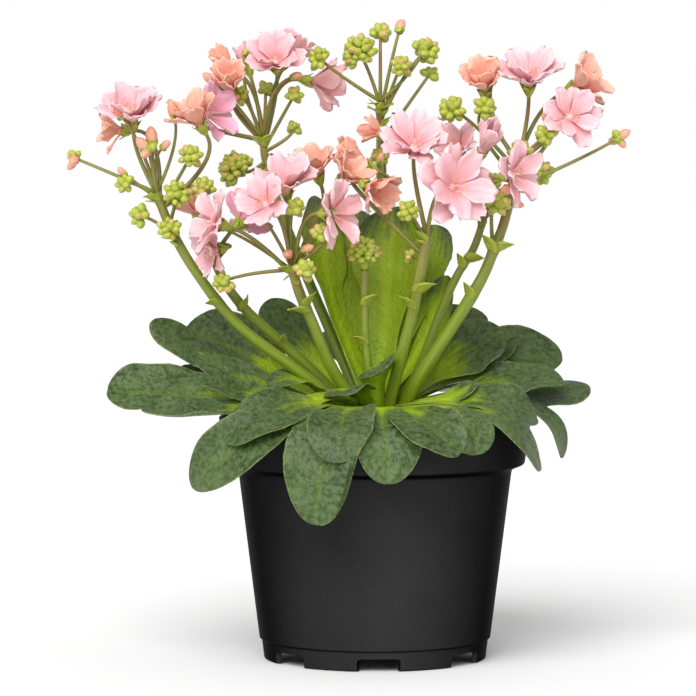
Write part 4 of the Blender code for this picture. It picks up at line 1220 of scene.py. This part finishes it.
def leaf_blade(skin, leaf, root, stalk, inner, draw, rings):
    """One leaf with a waved margin that curls a little."""
    leaf = raised_clear(leaf, root, stalk)
    phase = draw.uniform(0, 6.28)
    waves = draw.uniform(1.2, 2.2)
    wave_size = draw.uniform(0.07, 0.16)
    curl = draw.uniform(-0.16, 0.14)
    twist = draw.uniform(-4.0, 4.0)
    dent = draw.uniform(0, 40)

    def station(s):
        centre, along, across, _ = leaf_frame(leaf, root, s)
        across = Matrix.Rotation(math.radians(twist * s), 3, along) @ across
        up = along.cross(across)
        half = max(0.15, leaf_half_width(leaf, s, stalk))
        channel = 0.50 - 0.38 * smooth_step(s / 0.6)
        open_blade = smooth_step((s - 0.3) / 0.35)

        def shape(u):
            side = 1 if u > 0 else -1
            wave = wave_size * math.sin(waves * 6.28 * s + phase + side * 1.3) * abs(u) ** 2.2
            wave += 0.04 * math.sin(waves * 17.0 * s + phase + side * 2.0) * abs(u) ** 4
            lift = channel * u * u + (wave + curl * abs(u) ** 3) * open_blade
            bumpy = noise.noise(Vector((s * 6.0 + dent, u * 2.2, dent))) * 0.06 * open_blade
            groove = -0.06 * math.exp(-(u / 0.10) ** 2) * open_blade
            uneven = 1 + 0.09 * noise.noise(Vector((s * 5.0, side * 3.0 + dent, 2.0))) * open_blade
            uneven += 0.02 * noise.noise(Vector((s * 40.0, side * 3.0 + dent, 5.0))) * open_blade
            point = centre + across * (u * half * uneven) + up * ((lift + bumpy + groove) * half)
            return point, up, 0.5 * leaf_thickness(s) * (1 - 0.75 * u * u)

        return s, shape

    shares = [0.998 * math.sin(0.5 * math.pi * i / (rings - 1)) ** 0.80 for i in range(rings)]
    blade(skin, [station(s) for s in shares], section_across(LEAF_STEPS_ACROSS), (draw.random(), inner))


class LEWISIA_OT_leaves(bpy.types.Operator):
    """Builds the rosette of leaves and the crown that they grow from"""
    bl_idname = "lewisia.leaves"
    bl_label = "Leaves"

    def execute(self, context):
        finish = leaf_finish()
        draw = random.Random(5)
        for name, leaves, root, stalk, inner in LEAF_GROUPS:
            skin = Skin()
            for row in leaves:
                leaf_blade(skin, Leaf(*row), root, stalk, inner, draw, settings("leaf").rings)
            skin.finish(name, finish, "leaf", ("leaf_rosette",) if name == "outer_leaves" else ())
        crown = Skin()
        profile = [(0.0, ROOT_RADIUS - 1.5), (3.0, ROOT_RADIUS), (12.0, ROOT_RADIUS), (15.5, 12.0),
                   (18.0, 12.5), (21.0, 10.5), (23.0, 5.0), (23.6, 0.3)]
        turned(crown, Vector((0, 0, SOCKET_FLOOR + CLEARANCE)), Vector((0, 0, 1)), profile, CROWN_SIDES,
               (0.3, 1.0, 0.0), ribs=CROWN_RIBS, rib_depth=0.05)
        crown.finish("crown", finish, "leaf")
        return {"FINISHED"}


# Stems, buds and bracts

def along_route(route, share):
    """The point a share of the way along a smooth curve through the route's points."""
    spans = len(route) - 1
    whole = min(spans - 1, int(share * spans))
    t = share * spans - whole
    before = route[whole - 1] if whole > 0 else 2 * route[0] - route[1]
    after = route[whole + 2] if whole + 2 <= spans else 2 * route[-1] - route[-2]
    p1, p2 = route[whole], route[whole + 1]
    return 0.5 * (
        2 * p1
        + (p2 - before) * t
        + (2 * before - 5 * p1 + 4 * p2 - after) * t * t
        + (3 * p1 - before - 3 * p2 + after) * t ** 3
    )


def spread_down(items):
    """The items that one stem carries, each a little further down than its row says, in their order."""
    step = HUB_SPREAD / max(1, len(items))
    return [item._replace(at=item.at - step * i) for i, item in enumerate(items)]


def branch(skin, kind, stem, share, seat, facing, draw):
    """A branch that leaves the stem, swings out and comes up to its seat along the facing."""
    start = along_route(stem.route, share)
    control = seat - facing * (0.35 * (seat - start).length)
    route = [bow(start, control, seat, i / (kind.rings - 1)) for i in range(kind.rings)]
    radii = [blend(kind.foot, kind.top, i / (kind.rings - 1)) for i in range(kind.rings)]
    tube(skin, route, radii, kind.sides, plain_tone(draw), kind.along)
    return route


def main_stem(skin, stem, draw):
    """The stem itself, swollen at its foot and at its hub, with slight joints."""
    centres, radii = [], []
    joints = [row[0] for row in BRACT_ROWS[stem.name]]
    for i in range(STEM_RINGS):
        share = i / (STEM_RINGS - 1)
        centres.append(along_route(stem.route, share))
        radius = blend(0.86 * stem.foot, 0.84 * stem.top, share)
        radius *= 1 + 0.10 * sum(math.exp(-((share - at) / 0.015) ** 2) for at in joints)
        radius *= 1 + 0.18 * smooth_step((share - 0.93) / 0.05)
        radius *= 1 + 0.04 * noise.noise(Vector((share * 9.0, stem.foot * 7.0, 1.0)))
        radii.append(radius)
    radii[-1] *= 0.7
    tube(skin, centres, radii, STEM_SIDES, plain_tone(draw))


def sepal(skin, root, axis, out, length, width, lean, draw, curl=0.0, teeth=0.10, rings=9):
    """A small pointed scale with a toothed margin, which leans out from its root."""
    side = axis.cross(out).normalized()
    stations = []
    place = root.copy()
    for i in range(rings):
        s = i / (rings - 1)
        slope = math.radians(lean + curl * s)
        ahead = axis * math.cos(slope) + out * math.sin(slope)
        above = axis * math.sin(slope) - out * math.cos(slope)
        if i:
            place = place + ahead * (length / (rings - 1))
        grow = math.sin(math.pi * min(1.0, 0.22 + 0.80 * s)) ** 0.7 if s < 0.97 else 0.06
        half = 0.5 * width * grow * (1 + teeth * (i % 2))

        def shape(u, place=place, above=above, half=half):
            point = place - side * (u * half) + above * (0.30 * half * u * u)
            return point, above, 0.16 * (1 - 0.6 * u * u)

        stations.append((s, shape))
    blade(skin, stations, (-1.0, -0.6, -0.2, 0.2, 0.6, 1.0), (draw.random(), 0.0))


def calyx(skin, neck, facing, spread, draw):
    """The cup of sepals under a flower."""
    profile = [(0.0, 0.75), (0.9, 1.0), (2.0, 1.55), (3.4, 2.0), (4.6, 1.9), (5.0, 1.2)]
    turned(skin, neck, facing, profile, 14, (draw.random(), 0.0, 0.2), ribs=5, rib_depth=0.06)
    side, other = frame_across(facing)
    turn = draw.uniform(0, 6.28)
    for i in range(CALYX_SEPALS):
        out = around(side, other, turn + 2 * math.pi * i / CALYX_SEPALS)
        root = neck + facing * (1.2 + 0.5 * (i % 2)) + out * 1.0
        length, width = draw.uniform(4.6, 5.8), draw.uniform(3.0, 3.8)
        sepal(skin, root, facing, out, length, width, 16 + 14 * spread, draw, curl=10 * spread)


def bud(skin, root, axis, length, ripe, draw):
    """A plump bud of folded sepals. A ripe one is longer, and shows the tip of its furled petals."""
    radius = length * (0.30 if ripe > 0.5 else 0.42)
    shape = ((0.0, 0.30), (0.08, 0.62), (0.22, 0.90), (0.42, 1.0), (0.62, 0.95), (0.80, 0.72), (0.93, 0.40),
             (1.0, 0.08))
    profile = [(length * height, radius * share) for height, share in shape]
    turned(skin, root, axis, profile, 10, (draw.random(), ripe, 0.4), ribs=2 if ripe < 0.5 else 5,
           rib_depth=0.08)


def ripe_bud(skin, root, axis, length, draw):
    """A bud about to open, held by two short green sepals."""
    bud(skin, root, axis, length, 1.0, draw)
    side, other = frame_across(axis)
    turn = draw.uniform(0, 6.28)
    for i in range(2):
        out = around(side, other, turn + math.pi * i)
        foot = root + out * (0.16 * length)
        sepal(skin, foot, axis, out, 0.52 * length, 0.62 * length, 24, draw, curl=-40)


def bunch_bract(skin, seat, facing, out, size, draw):
    """A broad leafy scale that cups a bunch from below."""
    root = seat - facing * (0.3 * size) + out * 0.4
    sepal(skin, root, facing, out, draw.uniform(0.9, 1.2) * size, draw.uniform(0.8, 1.0) * size, 44, draw,
          curl=-34)


def bunch(skin_stem, skin_bud, item, facing, draw):
    """The buds of a spray on their short stalks. More than two of them have a core and four bracts."""
    seat = item.seat
    side, other = frame_across(facing)
    ripe_bunch = item.bud > LONGEST_GREEN_BUD
    count = item.count if ripe_bunch else round(1.7 * item.count) + (2 if item.count > 1 else 0)
    reach = item.bunch * (1.0 if ripe_bunch else 1.05)
    if count > 2:
        core = [(0.0, 0.3), (0.5 * reach, 0.62 * reach), (1.0 * reach, 0.66 * reach), (1.5 * reach, 0.3)]
        turned(skin_bud, seat - facing * (0.7 * reach), facing, core, 9, plain_tone(draw))
    for i in range(count):
        lean = math.acos(1 - 1.45 * (i + 0.5) / count) if count > 1 else 0.0
        out = around(side, other, i * GOLDEN_TURN + draw.uniform(-0.25, 0.25))
        axis = around(facing, out, lean).normalized()
        length = item.bud * draw.uniform(0.78, 1.12)
        is_ripe = ripe_bunch and i % 2 == 0
        if ripe_bunch and not is_ripe:
            length *= 0.62
        start = seat + axis * max(0.0, reach * draw.uniform(0.85, 1.1) - 0.55 * length)
        if count > 1:
            tube(skin_stem, [seat - facing * 0.6, seat + axis * (0.4 * reach), start + axis * 0.4],
                 [0.5, 0.42, 0.5], 6, plain_tone(draw), along=(0.9, 1.05))
        if is_ripe:
            ripe_bud(skin_bud, start, axis, length, draw)
        else:
            bud(skin_bud, start, axis, length, draw.choice((0.0, 0.0, 0.0, 0.0, 0.3)), draw)
    if count > 2:
        for i in range(4):
            out = around(side, other, i * 0.5 * math.pi + draw.uniform(-0.5, 0.5))
            bunch_bract(skin_bud, seat, facing, out, 1.3 * reach, draw)


def spray(skin_stem, skin_bud, stem, item, draw):
    """A branch with its bunch of buds, and a bract where it leaves the stem."""
    facing = direction(item.turn, item.rise)
    route = branch(skin_stem, SPRAY_BRANCH, stem, item.at, item.seat, facing, draw)
    bunch(skin_stem, skin_bud, item, facing, draw)
    near = along_route(stem.route, item.at)
    rise = (route[3] - near).normalized()
    _, away = frame_across(rise)
    sepal(skin_bud, near - away * (stem.top * 0.7), rise, -away, 4.6, 3.4, 30, draw)


def single(skin_stem, skin_bud, stem, item, draw):
    """A lone bud on its own fine branch."""
    facing = direction(item.turn, item.rise)
    seat = Vector(item.seat) - facing * (0.4 * item.length)
    branch(skin_stem, SINGLE_BRANCH, stem, item.at, seat, facing, draw)
    ripe_bud(skin_bud, seat, facing, item.length, draw)


def bract(skin, stem, item, draw):
    """A small clasping leaf on a stem, with a toothed margin."""
    here = along_route(stem.route, item.at)
    above = along_route(stem.route, min(1.0, item.at + 0.01))
    ahead = (above - along_route(stem.route, item.at - 0.02)).normalized()
    out = direction(item.turn, 0)
    out = (out - ahead * out.dot(ahead)).normalized()
    root = here + out * (blend(stem.foot, stem.top, item.at) * 0.55) - ahead * 1.0
    sepal(skin, root, ahead, out, item.length, 0.80 * item.length, 38, draw, curl=34, teeth=0.24, rings=17)


class LEWISIA_OT_stems(bpy.types.Operator):
    """Builds the flowering stems with their branches, bracts, calyces and buds"""
    bl_idname = "lewisia.stems"
    bl_label = "Stems"

    def execute(self, context):
        stem_skin, bud_skin = stem_finish(), bud_finish()
        draw = random.Random(31)
        for stem in STEMS:
            green, buds = Skin(), Skin()
            main_stem(green, stem, draw)
            for item in spread_down([bloom for bloom in BLOOMS if bloom.stem == stem.name]):
                facing = direction(item.turn, item.rise)
                neck = item.seat - facing * CALYX_LENGTH
                branch(green, BLOOM_BRANCH, stem, item.at, neck, facing, draw)
                calyx(buds, neck, facing, item.spread, draw)
            for item in spread_down(SPRAYS[stem.name]):
                spray(green, buds, stem, item, draw)
            for row in SINGLE_ROWS.get(stem.name, ()):
                single(green, buds, stem, Single(*row), draw)
            for row in BRACT_ROWS[stem.name]:
                bract(buds, stem, Bract(*row), draw)
            green.finish("stem_" + stem.name, stem_skin, "stem", ("flower_stem_" + stem.name,))
            buds.finish("buds_" + stem.name, bud_skin, "stem")
        return {"FINISHED"}


# Flowers

def petal(skin, root, out, facing, reach, width, slopes, thick, draw):
    """One petal: narrow at its foot, broad and round beyond its middle, cupped, with a notched tip."""
    notch = draw.uniform(0.05, 0.11)
    tone = (draw.random(), 0.0)
    across = facing.cross(out)
    steps = [root.copy()]
    ways = []
    for i in range(PETAL_STEPS):
        slope = math.radians(blend(*slopes, smooth_step((i + 0.5) / PETAL_STEPS)))
        ahead = out * math.cos(slope) + facing * math.sin(slope)
        ways.append((ahead, facing * math.cos(slope) - out * math.sin(slope)))
        steps.append(steps[-1] + ahead * (reach / PETAL_STEPS))
    ripple = draw.uniform(0, 6.28)
    lean = draw.uniform(-0.10, 0.10)
    cup = draw.uniform(0.02, 0.20)

    def station(s):
        grow = 0.28 + 0.72 * smooth_step((s - 0.01) / 0.58)
        half = 0.5 * width * grow * (1 - 0.16 * smooth_step((s - 0.72) / 0.28))

        def shape(u):
            end = 0.24 * abs(u) ** 2.6 + notch * math.exp(-(u / 0.16) ** 2)
            end += 0.022 * math.sin(11 * u + ripple)
            t = s * (1 - end * smooth_step((s - 0.3) / 0.7))
            index = min(PETAL_STEPS - 1, int(t * PETAL_STEPS))
            ahead, above = ways[index]
            centre = steps[index] + ahead * ((t * PETAL_STEPS - index) * reach / PETAL_STEPS)
            waved = 0.26 * math.sin(6.0 * u + ripple + 2.5 * s) * smooth_step((s - 0.35) / 0.5) * abs(u)
            lift = (cup * u * u + waved - 0.05 * math.exp(-(u / 0.12) ** 2)) * half * 1.4
            point = centre + across * (u * half + lean * width * s * s) + above * lift
            return point, above, 0.5 * thick * (1 - 0.6 * u * u)

        return s, shape

    stations = [station(i / (PETAL_RINGS - 1)) for i in range(PETAL_RINGS)]
    blade(skin, stations, section_across(PETAL_STEPS_ACROSS), tone)


def stamens(filaments, anthers, seat, facing, reach, spread, draw):
    """Fine stalks round the flower's middle, each with a small yellow head."""
    side, other = frame_across(facing)
    for i in range(STAMENS):
        lean = math.radians(10 + 26 * spread * draw.uniform(0.5, 1.0))
        out = around(side, other, i * GOLDEN_TURN)
        axis = around(facing, out, lean)
        length = reach * draw.uniform(0.32, 0.46)
        start = seat + facing * 1.0 + out * 0.7
        end = start + axis * length
        middle = start + axis * (0.5 * length)
        tube(filaments, [start, middle, end], [0.16, 0.13, 0.11], 5, plain_tone(draw))
        across = (out * 0.4 + facing.cross(out)).normalized()
        profile = [(0.0, 0.10), (0.2, 0.28), (0.6, 0.32), (0.9, 0.22), (1.0, 0.05)]
        turned(anthers, end - across * 0.5, across, profile, 6, plain_tone(draw))
    tube(filaments, [seat, seat + facing * (0.25 * reach), seat + facing * (0.42 * reach)],
         [0.8, 0.35, 0.22], 7, (0.2, 0, 0))


def petals(skin, bloom, facing, thick, draw):
    """The petals of one bloom in two layers, the inner ones steeper, round a small heart."""
    side, other = frame_across(facing)
    spread = min(1.0, 1.25 * bloom.spread)
    for i in range(bloom.petals):
        inner = i % 2
        turn = 2 * math.pi * i / bloom.petals + 0.3 + draw.uniform(-0.10, 0.10)
        out = around(side, other, turn)
        sway = draw.uniform(-7, 7)
        slopes = (76 - 46 * spread + 10 * inner + sway, 94 - 86 * spread + 16 * inner + sway * 1.6)
        width = bloom.reach * (0.66 if bloom.spread > 0.3 else 0.60) * draw.uniform(0.90, 1.10)
        root = bloom.seat + facing * (0.5 + 0.9 * inner) + out * 0.9
        petal(skin, root, out, facing, bloom.reach * draw.uniform(1.00, 1.14), width, slopes, thick, draw)
    heart = [(0.0, 1.3), (1.0, 1.9), (2.2, 1.5), (3.2, 0.4)]
    turned(skin, bloom.seat, facing, heart, 12, (0.5, 0.0, 0.0))


class LEWISIA_OT_blooms(bpy.types.Operator):
    """Builds the open and half open flowers, each with two layers of petals and its stamens"""
    bl_idname = "lewisia.blooms"
    bl_label = "Blooms"

    def execute(self, context):
        look = settings("flower")
        pink = petal_finish("petal_pink", look.pink, (0.85, 0.34, 0.36), (0.88, 0.47, 0.48))
        salmon = petal_finish("petal_salmon", look.salmon, (0.87, 0.32, 0.18), (0.89, 0.38, 0.28))
        magenta = petal_finish("petal_magenta", look.magenta, (0.82, 0.24, 0.38), (0.84, 0.34, 0.48))
        hues = {**dict.fromkeys(SALMON_BLOOMS, salmon), **dict.fromkeys(MAGENTA_BLOOMS, magenta)}
        draw = random.Random(17)
        filaments, anthers = Skin(), Skin()
        for bloom in BLOOMS:
            skin = Skin()
            facing = direction(bloom.turn, bloom.rise)
            petals(skin, bloom, facing, look.thickness / MM, draw)
            material = hues.get(bloom.name, pink)
            skin.finish("petals_" + bloom.name, material, "petal", ("bloom_" + bloom.name,))
            if bloom.spread > 0.3:
                stamens(filaments, anthers, bloom.seat, facing, bloom.reach, bloom.spread, draw)
        filaments.finish("filaments", plain_part_finish("filament", (0.90, 0.72, 0.66), 0.5), "petal")
        anthers.finish("anthers", plain_part_finish("anther", (0.80, 0.50, 0.18), 0.6), "petal")
        return {"FINISHED"}


# Stage

def aimed(thing, way):
    """Turns a lamp or camera so that it looks along a way."""
    thing.rotation_euler = way.to_track_quat("-Z", "Y").to_euler()


def sun_lamp(name, way, strength, softness):
    """A broad far lamp that shines from the given way. Its size in degrees softens the shadows."""
    lamp = bpy.data.lights.new(name, "SUN")
    lamp.energy = strength
    lamp.angle = math.radians(softness)
    aimed(linked_object(name, lamp), -Vector(way))


def studio_world(strength):
    """Even room light: white walls all round, and a dimmer ceiling."""
    world = bpy.data.worlds.new("studio")
    world.use_nodes = True
    tree = Nodes(world.node_tree)
    split = tree.add("SeparateXYZ", Vector=tree.add("TexCoord").outputs["Generated"])
    dim = tree.add("MapRange", From_Min=0.15, From_Max=0.55, To_Min=strength, To_Max=0.45 * strength,
                   Value=split.outputs["Z"])
    tree.feed(tree.nodes["Background"].inputs["Strength"], dim.outputs["Result"])
    tree.feed(tree.nodes["Background"].inputs["Color"], (1.0, 1.0, 1.0, 1.0))
    return world


def make_camera():
    """A long lens in front of the plant and a little above its leaves."""
    data = bpy.data.cameras.new("camera")
    data.sensor_width = SENSOR_WIDTH
    data.lens = SENSOR_WIDTH * CAMERA_DISTANCE / (IMAGE_PIXELS * PIXEL_SIZE)
    data.clip_end = CAMERA_REACH
    camera = linked_object("camera", data)
    camera.location = Vector((CAMERA_SIDE, -CAMERA_DISTANCE, CAMERA_HEIGHT)) * MM
    aimed(camera, Vector((CAMERA_SIDE, 0.0, CAMERA_AIM_HEIGHT)) * MM - camera.location)
    bpy.context.scene.camera = camera


def make_floor(colour):
    """A plain pale floor just under the pot."""
    mesh = bpy.data.meshes.new("floor")
    corners = [(FLOOR_REACH * x, FLOOR_REACH * y, 0) for x, y in ((-1, -1), (1, -1), (1, 1), (-1, 1))]
    mesh.from_pydata(corners, [], [(0, 1, 2, 3)])
    floor = linked_object("floor", mesh)
    floor.location.z = -FLOOR_GAP
    finish = Finish("floor_paint", Roughness=0.9)
    finish.shade = finish.mix(finish.mottle(3.0, 0.4), colour, scaled(colour, (0.985, 0.985, 0.985)))
    mesh.materials.append(finish.done())


class LEWISIA_OT_stage(bpy.types.Operator):
    """Builds the floor, the soft studio light and the camera"""
    bl_idname = "lewisia.stage"
    bl_label = "Stage"

    def execute(self, context):
        look = settings("stage")
        make_floor(look.floor)
        context.scene.world = studio_world(look.light)
        context.scene.view_settings.view_transform = "Standard"
        sun_lamp("key", KEY_WAY, look.key, KEY_SOFTNESS)
        make_camera()
        return {"FINISHED"}


class LEWISIA_PT_panel(bpy.types.Panel):
    """Lists the pieces of the plant with their sizes and colours"""
    bl_label = "Potted Lewisia"
    bl_idname = "LEWISIA_PT_panel"
    bl_space_type = "VIEW_3D"
    bl_region_type = "UI"
    bl_category = "Lewisia"

    def draw(self, context):
        for name, _, operator in PARTS:
            box = self.layout.box()
            box.operator(operator.bl_idname)
            group = settings(name)
            for key in group.bl_rna.properties.keys():
                if key not in ("name", "rna_type"):
                    box.prop(group, key)


# Name of the settings, their group and the operator, in the order in which they are built
PARTS = (
    ("stage", StageSettings, LEWISIA_OT_stage),
    ("pot", PotSettings, LEWISIA_OT_pot),
    ("soil", SoilSettings, LEWISIA_OT_soil),
    ("leaf", LeafSettings, LEWISIA_OT_leaves),
    ("stem", StemSettings, LEWISIA_OT_stems),
    ("flower", FlowerSettings, LEWISIA_OT_blooms),
)


def register():
    for name, group, operator in PARTS:
        bpy.utils.register_class(group)
        setattr(bpy.types.Scene, "lewisia_" + name, PointerProperty(type=group))
        bpy.utils.register_class(operator)
    bpy.utils.register_class(LEWISIA_PT_panel)


def unregister():
    bpy.utils.unregister_class(LEWISIA_PT_panel)
    for name, group, operator in reversed(PARTS):
        bpy.utils.unregister_class(operator)
        delattr(bpy.types.Scene, "lewisia_" + name)
        bpy.utils.unregister_class(group)


def main():
    register()
    for _, _, operator in PARTS:
        package, call = operator.bl_idname.split(".")
        getattr(getattr(bpy.ops, package), call)()


if __name__ == "__main__":
    main()
